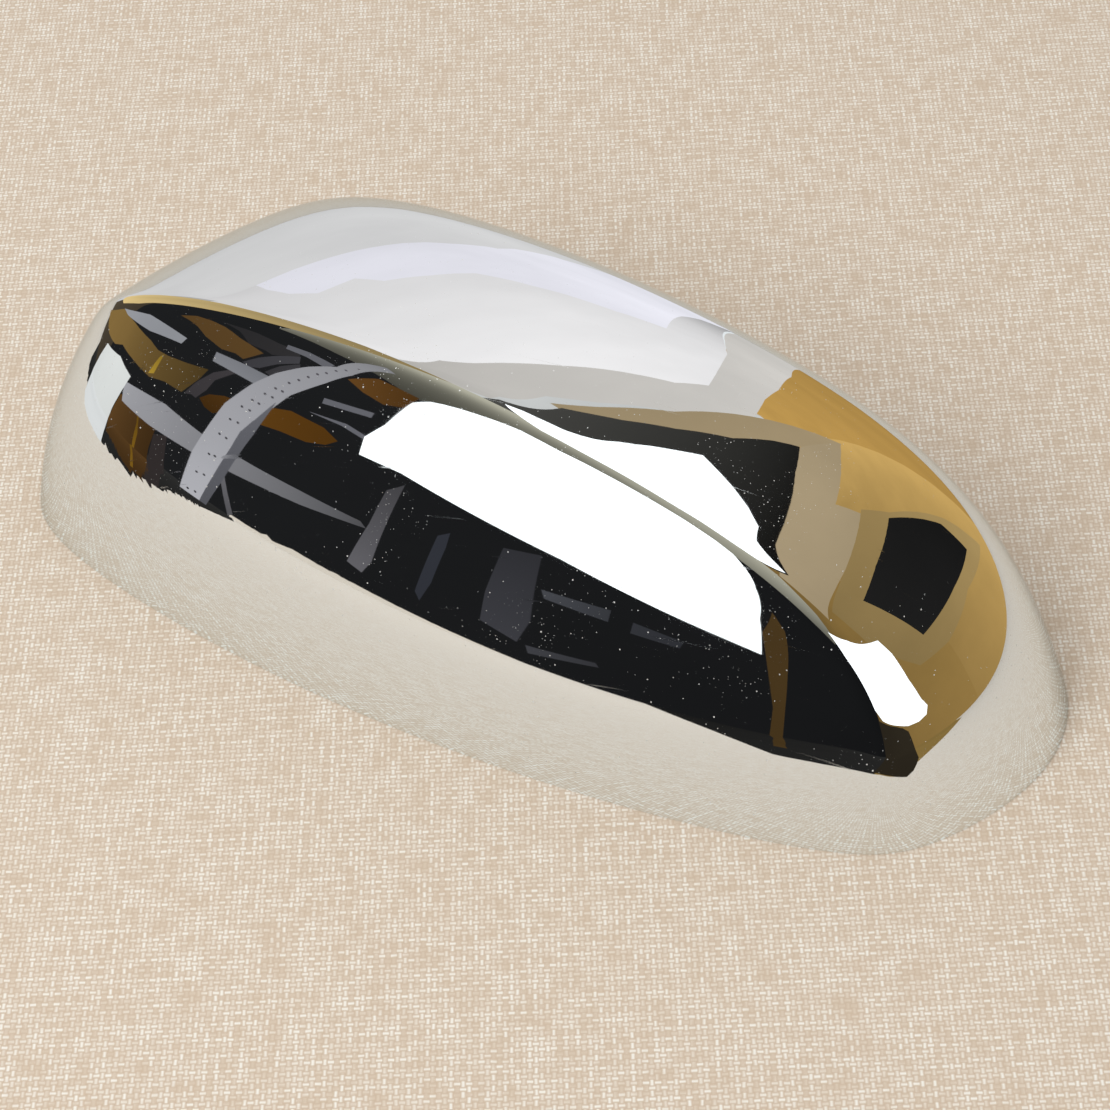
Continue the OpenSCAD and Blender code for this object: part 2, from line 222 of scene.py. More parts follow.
class Skin:
    """The outside of the cover. Its faces are negative inside, zero on the face itself"""

    GUESSES = 1.5, 1.3
    SECANT_STEPS = 9
    LEAST_CHANGE = 1e-15
    HALVINGS = 14
    PROBE = 2e-5
    LEAST_LEAN = 1e-9

    def __init__(self, sizes):
        for name in CoverSkinSizes.__annotations__:
            setattr(self, name, getattr(sizes, name))
        self.right_x = self.cover_l / 2 + self.right_room
        self.left_x = self.cover_l / 2 + self.left_room
        self.hub = Vector((0, (self.far_w - self.near_w) / 2, 0))
        self.reach = self.cover_l / 2, (self.far_w + self.near_w) / 2, self.top_h
        self.creases = {}

    def front(self, x, y, z):
        """The near wall"""
        away = x - self.near_mid
        bow = away * away / 2 / self.near_plan_r + z * z / 2 / self.front_bow_r
        return bow - y - self.near_w + z * tan(self.front_lean)

    def top(self, x, y, z):
        """The top, with the far wall and the right end"""
        flat = z - self.top_h + x * tan(self.top_fall) - y * tan(self.top_rise)
        crown = x * x / 2 / self.top_long_r + y * y / 2 / self.top_cross_r
        twist = x * x * y / self.top_change_l / self.top_change_l - x * y / self.top_twist_r
        top = flat + crown + twist
        far = y - self.far_w + x * tan(self.far_taper) + z * tan(self.far_lean)
        far += z * z / 2 / self.far_bow_r
        right = x - self.right_x - y * tan(self.right_turn) + z * tan(self.right_lean)
        right += y * y / 2 / self.right_plan_r + z * z / 2 / self.right_bow_r
        return blend(blend(top, far, self.far_blend), right, self.right_blend)

    def left(self, x, y, z):
        """The left end"""
        left = y * tan(self.left_turn) - x - self.left_x + z * tan(self.left_lean)
        left += y * y / 2 / self.left_plan_r + z * z / 2 / self.left_bow_r
        return left + y * z / self.left_twist_r

    def value(self, x, y, z):
        """About the distance outside the skin"""
        rest = max(0, 1 - z / self.crease_fade_h)
        crease = self.crease_blend + self.crease_fade * rest * rest
        body = blend(self.top(x, y, z), self.front(x, y, z), crease)
        return blend(body, self.left(x, y, z), self.left_blend)

    def slope(self, p):
        """Outward direction of the skin at a point"""
        x, y, z = p
        here, h = self.value(x, y, z), self.PROBE
        return Vector((
            self.value(x + h, y, z) - here,
            self.value(x, y + h, z) - here,
            self.value(x, y, z + h) - here,
        )).normalized()

    def meet(self, start, way):
        """How many times a direction reaches from a point to the skin, by the secant rule"""
        (x, y, z), (u, v, w) = start, way
        r0, r1 = self.GUESSES
        f0 = self.value(x + r0 * u, y + r0 * v, z + r0 * w)
        f1 = self.value(x + r1 * u, y + r1 * v, z + r1 * w)
        for _ in range(self.SECANT_STEPS):
            if abs(f1 - f0) < self.LEAST_CHANGE:
                break
            r0, r1, f0 = r1, r1 - f1 * (r1 - r0) / (f1 - f0), f1
            f1 = self.value(x + r1 * u, y + r1 * v, z + r1 * w)
        return r1

    def point(self, s, t):
        """Point of the skin at sweep angles s along the grid and t across it"""
        u, v = sin(s), sin(t)
        p, q = u * sqrt(1 - v * v / 2), v * sqrt(1 - u * u / 2)
        a = p * cos(self.grid_turn) - q * sin(self.grid_turn)
        b = p * sin(self.grid_turn) + q * cos(self.grid_turn)
        way = Vector((self.reach[0] * a, self.reach[1] * b, self.reach[2] * cos(s) * cos(t)))
        return self.hub + way * self.meet(self.hub, way)

    def crease_at(self, s):
        """Sweep angle across at which a column of the grid meets the crease"""
        if s not in self.creases:
            low, high = -pi / 3, pi / 3
            for _ in range(self.HALVINGS):
                t = (low + high) / 2
                p = self.point(s, t)
                if self.top(*p) > self.front(*p):
                    high = t
                else:
                    low = t
            self.creases[s] = (low + high) / 2
        return self.creases[s]

    def sweep(self, along, across):
        """Point of the skin for a place in a flat grid from -1 to 1, crowded at the crease"""
        s = along * pi / 2
        c = self.crease_at(s)
        room = pi / 2 - c if across > 0 else pi / 2 + c
        grade = self.crowding + (1 - self.crowding) * abs(across)
        return self.point(s, c + room * across * grade)

    def behind(self, p, depth):
        """Point one depth behind the skin, which stays above the rim plane"""
        n = self.slope(p)
        drop = min(depth * n.z, p.z / 2)
        side = sqrt(depth * depth - drop * drop) / max(n.xy.length, self.LEAST_LEAN)
        return Vector((p.x - side * n.x, p.y - side * n.y, p.z - drop))

    def root(self, x, y, wall):
        """Height of the middle of the wall over a point in plan"""
        z = self.top_h * self.meet((x, y, 0), (0, 0, self.top_h))
        return z - wall / 2 / self.slope((x, y, z)).z

    def to_frame(self):
        """Moves from the skin's own origin to the frame's"""
        return Vector((-self.middle_x, -self.middle_y, 0))


# Work on the moulding's mesh


@contextmanager
def moulding_mesh(skin):
    """Opens the moulding's mesh as a bmesh in the skin's own place, and puts it back"""
    mesh, shift = bpy.data.meshes[MOULDING], skin.to_frame()
    bm = bmesh.new()
    bm.from_mesh(mesh)
    bmesh.ops.translate(bm, verts=bm.verts, vec=-shift)
    yield bm
    bmesh.ops.translate(bm, verts=bm.verts, vec=shift)
    bm.to_mesh(mesh)
    bm.free()


def join(bm, part):
    """Moves a finished fitting into the moulding, in satin plating"""
    for f in part.faces:
        f.material_index = SATIN
    carrier = bpy.data.meshes.new("fitting")
    part.to_mesh(carrier)
    part.free()
    bm.from_mesh(carrier)
    bpy.data.meshes.remove(carrier)


def plate(bm, outline, thickness, place, soft):
    """Adds a plate: an outline in X and Z, as thick on either side, with softened edges"""
    part = bmesh.new()
    face = part.faces.new([part.verts.new((u, -thickness / 2, w)) for u, w in outline])
    grown = bmesh.ops.extrude_face_region(part, geom=[face], use_keep_orig=True)["geom"]
    moved = [g for g in grown if isinstance(g, bmesh.types.BMVert)]
    bmesh.ops.translate(part, verts=moved, vec=(0, thickness, 0))
    bmesh.ops.recalc_face_normals(part, faces=part.faces)
    bmesh.ops.bevel(
        part, geom=[e for e in part.edges if e.calc_face_angle(0) > ROUND_ANGLE], offset=soft,
        offset_type="OFFSET", segments=2, profile=0.5, affect="EDGES", clamp_overlap=True,
        material=-1,
    )
    bmesh.ops.transform(part, matrix=place, verts=part.verts)
    join(bm, part)


def lathe(bm, profile, x, y, steps=48):
    """Adds a turned shape from a profile of radii and heights that starts and ends on its axis"""
    part = bmesh.new()
    verts = [part.verts.new((x + r, y, z)) for r, z in profile]
    edges = [part.edges.new(pair) for pair in zip(verts, verts[1:])]
    bmesh.ops.spin(
        part, geom=verts + edges, cent=(x, y, 0), axis=(0, 0, 1), angle=2 * pi, steps=steps,
        use_merge=True,
    )
    bmesh.ops.remove_doubles(part, verts=part.verts, dist=MERGE)
    bmesh.ops.recalc_face_normals(part, faces=part.faces)
    join(bm, part)


def lay_shell(bm, skin, fit):
    """Lays a flat grid over the skin, doubles it for the inside and joins the two at the rim"""
    bmesh.ops.create_grid(bm, x_segments=skin.columns, y_segments=skin.rows, size=1)
    for v in bm.verts:
        v.co = skin.sweep(round(v.co.x, GRID_DIGITS), round(v.co.y, GRID_DIGITS))
        v.co.z = max(v.co.z, 0)
    copied = bmesh.ops.duplicate(bm, geom=bm.verts[:] + bm.edges[:] + bm.faces[:])["geom"]
    back = [g for g in copied if isinstance(g, bmesh.types.BMFace)]
    for v in [g for g in copied if isinstance(g, bmesh.types.BMVert)]:
        v.co = skin.behind(v.co.copy(), fit.wall)
    bmesh.ops.reverse_faces(bm, faces=back)
    for f in back:
        f.material_index = SATIN
    rim = [e for e in bm.edges if e.is_boundary]
    ring = bmesh.ops.bridge_loops(bm, edges=rim)["faces"]
    for f in ring:
        f.material_index = PLATED
    inside = set(back)
    outer = [e for f in ring for e in f.edges if not inside.intersection(e.link_faces)]
    outer = [e for e in set(outer) if any(f not in ring for f in e.link_faces)]
    bmesh.ops.bevel(
        bm, geom=outer, offset=fit.rim_round, offset_type="OFFSET", segments=3, profile=0.5,
        affect="EDGES", clamp_overlap=True, material=-1,
    )


def tab_place(skin, fit, bearing):
    """Where the back of a tab stands in plan, and the outward direction of the wall there"""
    out = Vector((cos(bearing), sin(bearing), 0))
    low = skin.hub + Vector((0, 0, fit.tab_foot))
    far = out * skin.cover_l / 2
    p = low + far * skin.meet(low, far)
    n = skin.slope(p)
    flat = Vector((n.x, n.y, 0)).normalized()
    return p - flat * (fit.wall + fit.tab_gap), flat


def add_tab(bm, skin, fit, bearing, steps=6):
    """Adds a springy tongue with a nose at its foot, and two webs that tie it to the wall"""
    stand, out = tab_place(skin, fit, bearing)
    aside = Vector((-out.y, out.x, 0))

    def root(r, w):
        p = stand + r * out + w * aside
        return skin.root(p.x, p.y, fit.wall)

    def wall_at(w, z):
        start = stand + w * aside
        start.z = z
        gap = out * (fit.tab_gap + fit.wall)
        r = skin.meet(start, gap) * gap.length
        return r - fit.wall / 2 / skin.slope(start + r * out).dot(out)

    half, core = fit.tab_w / 2, -fit.tab_t / 2
    foot, web_foot = fit.tab_foot, fit.tab_foot + fit.nose_h + fit.web_rise
    turn = Matrix.Translation((stand.x, stand.y, 0)) @ Matrix.Rotation(atan2(out.y, out.x), 4, "Z")
    across = Matrix.Translation((core, 0, 0)) @ Matrix.Rotation(pi / 2, 4, "Z")
    widths = [half - fit.tab_w * k / steps for k in range(steps + 1)]
    tongue = [(-half, foot), (half, foot)] + [(w, root(core, w)) for w in widths]
    plate(bm, tongue, fit.tab_t, turn @ across, fit.soft_edge)
    tip, chin = -fit.tab_t - fit.nose_out, foot + 2 * fit.soft_edge
    nose = [
        (core, chin), (-fit.tab_t, chin), (tip, foot + NOSE_LOW * fit.nose_h),
        (tip, foot + NOSE_HIGH * fit.nose_h), (core, foot + fit.nose_h),
    ]
    plate(bm, nose, fit.tab_w, turn, fit.soft_edge)
    for w in (fit.web_t / 2 - half, half - fit.web_t / 2):
        high = root(0, w)
        heights = [high + (web_foot - high) * k / steps for k in range(steps + 1)]
        web = [(core, web_foot), (core, root(core, w))] + [(wall_at(w, z), z) for z in heights]
        plate(bm, web, fit.web_t, turn @ Matrix.Translation((0, w, 0)), fit.soft_edge)


def add_pin(bm, skin, fit, x):
    """Adds a round pin with a tapered end, on a boss with crossed fins"""
    r, boss, soft = fit.pin_d / 2, fit.boss_d / 2, fit.soft_edge
    shoulder = fit.pin_foot + fit.pin_bare
    top = skin.root(x, fit.pin_y, fit.wall)
    profile = [
        (0, fit.pin_foot), (r - fit.pin_lead, fit.pin_foot), (r, fit.pin_foot + fit.pin_lead),
        (r, shoulder), (boss - soft, shoulder), (boss, shoulder + soft), (boss, top), (0, top),
    ]
    lathe(bm, profile, x, fit.pin_y)
    half, foot = fit.fin_w / 2, shoulder + fit.fin_step
    for turn in (0, pi / 2):
        along = Vector((cos(turn), sin(turn)))

        def root(k):
            return skin.root(x + k * along.x, fit.pin_y + k * along.y, fit.wall)

        fin = [
            (-boss / 2, foot), (boss / 2, foot), (half, foot + half),
            (half, root(half)), (0, root(0)), (-half, root(-half)), (-half, foot + half),
        ]
        place = Matrix.Translation((x, fit.pin_y, 0)) @ Matrix.Rotation(turn, 4, "Z")
        plate(bm, fin, fit.fin_t, place, soft)


def add_rib(bm, skin, fit, start, end, steps=24):
    """Adds a rib that hangs from the wall along a line in plan"""
    start, end = Vector(start), Vector(end)
    way = end - start
    spots = [start + way * k / steps for k in range(steps + 1)]
    roots = [skin.root(p.x, p.y, fit.wall) for p in spots]
    runs = [way.length * k / steps for k in range(steps + 1)]
    depth = fit.wall / 2 + fit.rib_h
    upper = list(zip(runs, roots))
    lower = [(run, z - depth) for run, z in upper]
    place = Matrix.Translation((start.x, start.y, 0)) @ Matrix.Rotation(atan2(way.y, way.x), 4, "Z")
    plate(bm, upper + lower[::-1], fit.rib_t, place, fit.soft_edge)


# Materials

# Dust: how rare large specks are and how firm, the scale of crowded places against that of specks,
# and how far the noise rises from bare places to crowded ones. Then the noise where coarse and fine
# specks begin, and how much closer and how much larger in their room the fine ones are
SPECK_POWER, SPECK_FIRM, PATCH_SCALE, PATCH_RISE = 2.2, 2.0, 0.035, 0.16
COARSE_BARE, FINE_BARE = 0.42, 0.50
FINE_CLOSER, FINE_LARGER = 2.2, 1.3
# Hairlines: turn and shift of either set, how they are tilted and stretched, and the noise at which
# a mark begins and is full
WIPES = (0.5, 0.0), (-0.9, 3.7)
WIPE_TILT, WIPE_STRETCH = (0.3, 0.2), (0.1, 8.0, 1.0)
MARK_LOW, MARK_HIGH = 0.735, 0.76
# Noise at which a soft patch begins and is full
CLOUD_LOW, CLOUD_HIGH = 0.35, 0.7
# What hairlines and dust do to the bright plating, and the scale of its film
HAIR_ROUGH, DUST_ROUGH, DUST_DULL, FILM_SCALE = 0.06, 0.6, 0.9, 28.0
# Satin plating: its darker patches, their scale and their roughness, and how metallic it is
SATIN_DARK, SATIN_SCALE, SATIN_UNEVEN = 0.8, 22.0, 0.06
SATIN_METAL, SATIN_DULL = 0.95, 0.8
GRAIN_BUMP, GRAIN_DEPTH = 0.35, 0.00006
# Floor: the wave texture's scale for one band in a metre, the share of a thread that shows where it
# runs below, and of its thick and thin places the scale, the stretch, the noise and the least share
ONE_BAND = 2 * pi / 20
BELOW = 0.25
SLUB_SCALE, SLUB_STRETCH = 620.0, 0.2
SLUB_RANGE = 0.35, 0.65, 0.2, 1
# What makes it look like cloth
CLOTH = {
    "Roughness": 0.95, "Specular IOR Level": 0.1, "Sheen Weight": 0.4, "Sheen Roughness": 0.45,
}
# Cards: scale of their unevenness and its share either way, and the least length of their grading
CARD_SCALE, CARD_UNEVEN, LEAST_RUN = 2.0, 0.06, 0.001


class Nodes:
    """Adds and joins the nodes of one tree"""

    def __init__(self, tree):
        self.tree = tree

    def add(self, kind, settings=None, **inputs):
        """Adds a node with its settings and inputs"""
        node = self.tree.nodes.new(kind)
        for key, value in (settings or {}).items():
            setattr(node, key, value)
        for key, value in inputs.items():
            self.feed(node.inputs[key.replace("_", " ")], value)
        return node

    def feed(self, socket, value):
        """Joins a socket to another, or gives it a value"""
        if isinstance(value, bpy.types.NodeSocket):
            self.tree.links.new(value, socket)
        else:
            socket.default_value = value

    def math(self, operation, a, b=0.0, clamp=False):
        """Adds a math node and returns its result"""
        node = self.add("ShaderNodeMath", {"operation": operation, "use_clamp": clamp})
        self.feed(node.inputs[0], a)
        self.feed(node.inputs[1], b)
        return node.outputs[0]

    def spread(self, value, low, high, to_low=0.0, to_high=1.0):
        """Spreads the range from low to high over another one, and stops at its ends"""
        node = self.add(
            "ShaderNodeMapRange", Value=value, From_Min=low, From_Max=high,
            To_Min=to_low, To_Max=to_high,
        )
        return node.outputs["Result"]

    def mix(self, factor, a, b):
        """Adds a mix of two colours and returns its result"""
        node = self.add("ShaderNodeMix", {"data_type": "RGBA"}, Factor=factor, A=a, B=b)
        return node.outputs["Result"]


def new_group(name, *inputs):
    """A shader node group that makes a mask, from a vector for the place and float inputs"""
    group = bpy.data.node_groups.new(name, "ShaderNodeTree")
    group.interface.new_socket("Vector", in_out="INPUT", socket_type="NodeSocketVector")
    for label in inputs:
        group.interface.new_socket(label, in_out="INPUT", socket_type="NodeSocketFloat")
    group.interface.new_socket("Mask", in_out="OUTPUT", socket_type="NodeSocketFloat")
    n = Nodes(group)
    return n, n.add("NodeGroupInput").outputs, n.add("NodeGroupOutput").inputs["Mask"]


def dust_group():
    """Sparse specks, crowded in some places and absent in others"""
    n, given, mask = new_group("Settled dust", "Scale", "Size", "Bare")
    place, scale, bare = given["Vector"], given["Scale"], given["Bare"]
    cells = n.add("ShaderNodeTexVoronoi", Vector=place, Scale=scale).outputs
    pick = n.add("ShaderNodeSeparateColor", Color=cells["Color"]).outputs["Red"]
    radius = n.math("MULTIPLY", n.math("POWER", pick, SPECK_POWER), given["Size"])
    away = n.math("DIVIDE", cells["Distance"], radius)
    near = n.math("SUBTRACT", 1.0, away, clamp=True)
    speck = n.math("MULTIPLY", near, SPECK_FIRM, clamp=True)
    patch = n.add(
        "ShaderNodeTexNoise", Vector=place, Scale=n.math("MULTIPLY", scale, PATCH_SCALE),
        Detail=2.0,
    )
    crowd = n.spread(patch.outputs["Fac"], bare, n.math("ADD", bare, PATCH_RISE))
    n.feed(mask, n.math("MULTIPLY", speck, crowd))


def hairline_group():
    """Fine straight marks from wiping, in two directions"""
    n, given, mask = new_group("Hairlines", "Scale")
    marks = []
    for turn, shift in WIPES:
        place = n.add(
            "ShaderNodeMapping", Vector=given["Vector"],
            Location=(shift, 0, 0), Rotation=(*WIPE_TILT, turn), Scale=WIPE_STRETCH,
        )
        grain = n.add(
            "ShaderNodeTexNoise", Vector=place.outputs["Vector"], Scale=given["Scale"], Detail=1.0,
        )
        marks.append(n.spread(grain.outputs["Fac"], MARK_LOW, MARK_HIGH))
    n.feed(mask, n.math("MAXIMUM", *marks))


def cloud_group():
    """Soft patches from 0 to 1"""
    n, given, mask = new_group("Clouds", "Scale")
    cloud = n.add(
        "ShaderNodeTexNoise", Vector=given["Vector"], Scale=given["Scale"], Detail=4.0,
        Roughness=0.55,
    )
    n.feed(mask, n.spread(cloud.outputs["Fac"], CLOUD_LOW, CLOUD_HIGH))


def place_group(n, name, vector, **inputs):
    """Places a shared group in a material and returns its mask"""
    tree = bpy.data.node_groups[name]
    return n.add("ShaderNodeGroup", {"node_tree": tree}, Vector=vector, **inputs).outputs["Mask"]


def place_dust(n, look, place, bare=COARSE_BARE, closer=1, larger=1):
    """Places a layer of dust in a material and returns its mask"""
    scale, size = closer / look.dust_grain, larger * look.dust_size
    return place_group(n, "Settled dust", place, Scale=scale, Size=size, Bare=bare)


def fresh_nodes(owner):
    """Empties the node tree of a material or a world and returns the helper for it"""
    owner.use_nodes = True
    owner.node_tree.nodes.clear()
    return Nodes(owner.node_tree)


def new_material(name):
    """An empty material, its node helper and its object coordinates"""
    material = bpy.data.materials.new(name)
    n = fresh_nodes(material)
    return material, n, n.add("ShaderNodeTexCoord").outputs["Object"]


def principled(n):
    """The inputs of a material's Principled shader"""
    shader = n.add("ShaderNodeBsdfPrincipled")
    n.add("ShaderNodeOutputMaterial", Surface=shader.outputs["BSDF"])
    return shader.inputs


def plated_material(look):
    """Mirror-bright plating with a film from handling, specks of dust and a few hairlines"""
    material, n, place = new_material("Bright plating")
    shader = principled(n)
    coarse = place_dust(n, look, place)
    fine = place_dust(n, look, place, FINE_BARE, FINE_CLOSER, FINE_LARGER)
    dust = n.math("MAXIMUM", coarse, fine)
    hair = place_group(n, "Hairlines", place, Scale=1 / look.hair_l)
    film = place_group(n, "Clouds", place, Scale=FILM_SCALE)
    rough = n.math("ADD", look.plate_rough, n.math("MULTIPLY", film, look.film_rough))
    rough = n.math("ADD", rough, n.math("MULTIPLY", hair, HAIR_ROUGH))
    rough = n.math("ADD", rough, n.math("MULTIPLY", dust, DUST_ROUGH), clamp=True)
    n.feed(shader["Base Color"], n.mix(dust, (*look.plate, 1), (*look.dust, 1)))
    n.feed(shader["Metallic"], n.math("SUBTRACT", 1.0, n.math("MULTIPLY", dust, DUST_DULL)))
    n.feed(shader["Roughness"], rough)
    # Edge tint: in part painted shade, which darkens the mirrored floor near the silhouette
    n.feed(shader["Specular Tint"], (*look.edge, 1))
    return material


def satin_material(look):
    """Dull plating over the grain of the mould, as on the inside of a plated moulding"""
    material, n, place = new_material("Satin plating")
    shader = principled(n)
    cloud = place_group(n, "Clouds", place, Scale=SATIN_SCALE)
    dust = place_dust(n, look, place)
    dark = [SATIN_DARK * c for c in look.satin]
    patches = n.mix(cloud, (*dark, 1), (*look.satin, 1))
    rough = n.spread(cloud, 0, 1, look.satin_rough + SATIN_UNEVEN, look.satin_rough)
    grain = n.add("ShaderNodeTexNoise", Vector=place, Scale=1 / look.grain_l, Detail=3.0)
    bump = n.add(
        "ShaderNodeBump", Strength=GRAIN_BUMP, Distance=GRAIN_DEPTH, Height=grain.outputs["Fac"],
    )
    dull = n.math("MULTIPLY", dust, SATIN_DULL)
    n.feed(shader["Base Color"], n.mix(dust, patches, (*look.dust, 1)))
    n.feed(shader["Metallic"], n.math("SUBTRACT", SATIN_METAL, dull))
    n.feed(shader["Roughness"], rough)
    n.feed(shader["Normal"], bump.outputs["Normal"])
    return material


def floor_material(stage):
    """Pale cloth in a faint uneven weave, with every other thread on top"""
    material, n, place = new_material("Floor cloth")
    shader = principled(n)
    turned = n.add("ShaderNodeMapping", Vector=place, Rotation=(0, 0, -stage.weave_turn))
    place = turned.outputs["Vector"]
    over = n.add("ShaderNodeTexChecker", Vector=place, Scale=1 / stage.thread_l).outputs["Fac"]
    threads = []
    for way, stretch, shown in (
        ("X", (1.0, SLUB_STRETCH, 1.0), n.spread(over, 0, 1, BELOW, 1)),
        ("Y", (SLUB_STRETCH, 1.0, 1.0), n.spread(over, 0, 1, 1, BELOW)),
    ):
        row = n.add(
            "ShaderNodeTexWave", {"bands_direction": way}, Vector=place,
            Scale=ONE_BAND / stage.thread_l, Distortion=0.8, Detail=1.0, Detail_Scale=1.5,
        )
        run = n.add("ShaderNodeMapping", Vector=place, Scale=stretch).outputs["Vector"]
        slub = n.add("ShaderNodeTexNoise", Vector=run, Scale=SLUB_SCALE, Detail=1.0)
        even = n.spread(slub.outputs["Fac"], *SLUB_RANGE)
        pale = n.math("MULTIPLY", row.outputs["Fac"], even)
        threads.append(n.math("MULTIPLY", pale, shown))
    tone = n.math("MAXIMUM", *threads)
    n.feed(shader["Base Color"], n.mix(tone, (*stage.floor, 1), (*stage.thread, 1)))
    for label, value in CLOTH.items():
        n.feed(shader[label], value)
    return material


def card_material(name, tint, shading, run):
    """A glowing light or panel that only reflections see, graded along an axis as painted light and
    shade and a little uneven
    """
    axis, low, high = shading
    material, n, place = new_material(name)
    along = n.add("ShaderNodeSeparateXYZ", Vector=place).outputs[axis]
    # The level along the axis is painted light and shade: the fall of light over what the card
    # stands for
    level = n.spread(along, *run, low, high)
    cloud = place_group(n, "Clouds", place, Scale=CARD_SCALE)
    uneven = n.spread(cloud, 0, 1, 1 - CARD_UNEVEN, 1 + CARD_UNEVEN)
    tinted = n.add(
        "ShaderNodeVectorMath", {"operation": "SCALE"}, Scale=n.math("MULTIPLY", level, uneven),
    )
    n.feed(tinted.inputs[0], tint)
    glow = n.add("ShaderNodeEmission", Color=tinted.outputs["Vector"], Strength=1.0)
    n.add("ShaderNodeOutputMaterial", Surface=glow.outputs["Emission"])
    return material


# The stage

# Colours that several cards share
WHITE = 1.0, 1.0, 1.0
CREAM = 1.0, 0.95, 0.9
PALE_METAL = 0.82, 0.78, 0.82
GREY = 0.14, 0.135, 0.15
GOLD = 0.22, 0.11, 0.012
TAN = 0.12, 0.057, 0.018
BROWN = 0.075, 0.042, 0.014
SHADE = 0.025, 0.019, 0.012
BLACK = 0.036, 0.028, 0.027

# Edges at which one card meets the next
LOW_EDGE = (
    (97, 1.4, 0), (101, 1.36, 0.28), (110, 1.27, 0.64), (116, 1.24, 0.7), (124, 1.24, 0.7),
    (130, 1.25, 0.68),
)
MIDDLE_EDGE = (
    (132, 1.26, 0.67), (132, 1.21, 0.75), (131.6, 1.16, 0.83), (130.5, 1.12, 0.89),
    (128, 1.13, 0.88), (126.6, 1.08, 0.94), (122.7, 1.06, 0.97), (118, 1.05, 0.98),
    (112, 0.99, 1.04), (100, 0.93, 1.1), (92, 0.94, 1.08), (88.6, 1.4, 0),
)
HIGH_EDGE = (
    (166, 0.58, 1.32), (131, 0.65, 1.29), (122.6, 0.59, 1.32), (113.5, 0.53, 1.34),
    (96, 0.49, 1.36), (86, 0.49, 1.36), (78, 0.55, 1.34), (82, 0.97, 1.06),
)
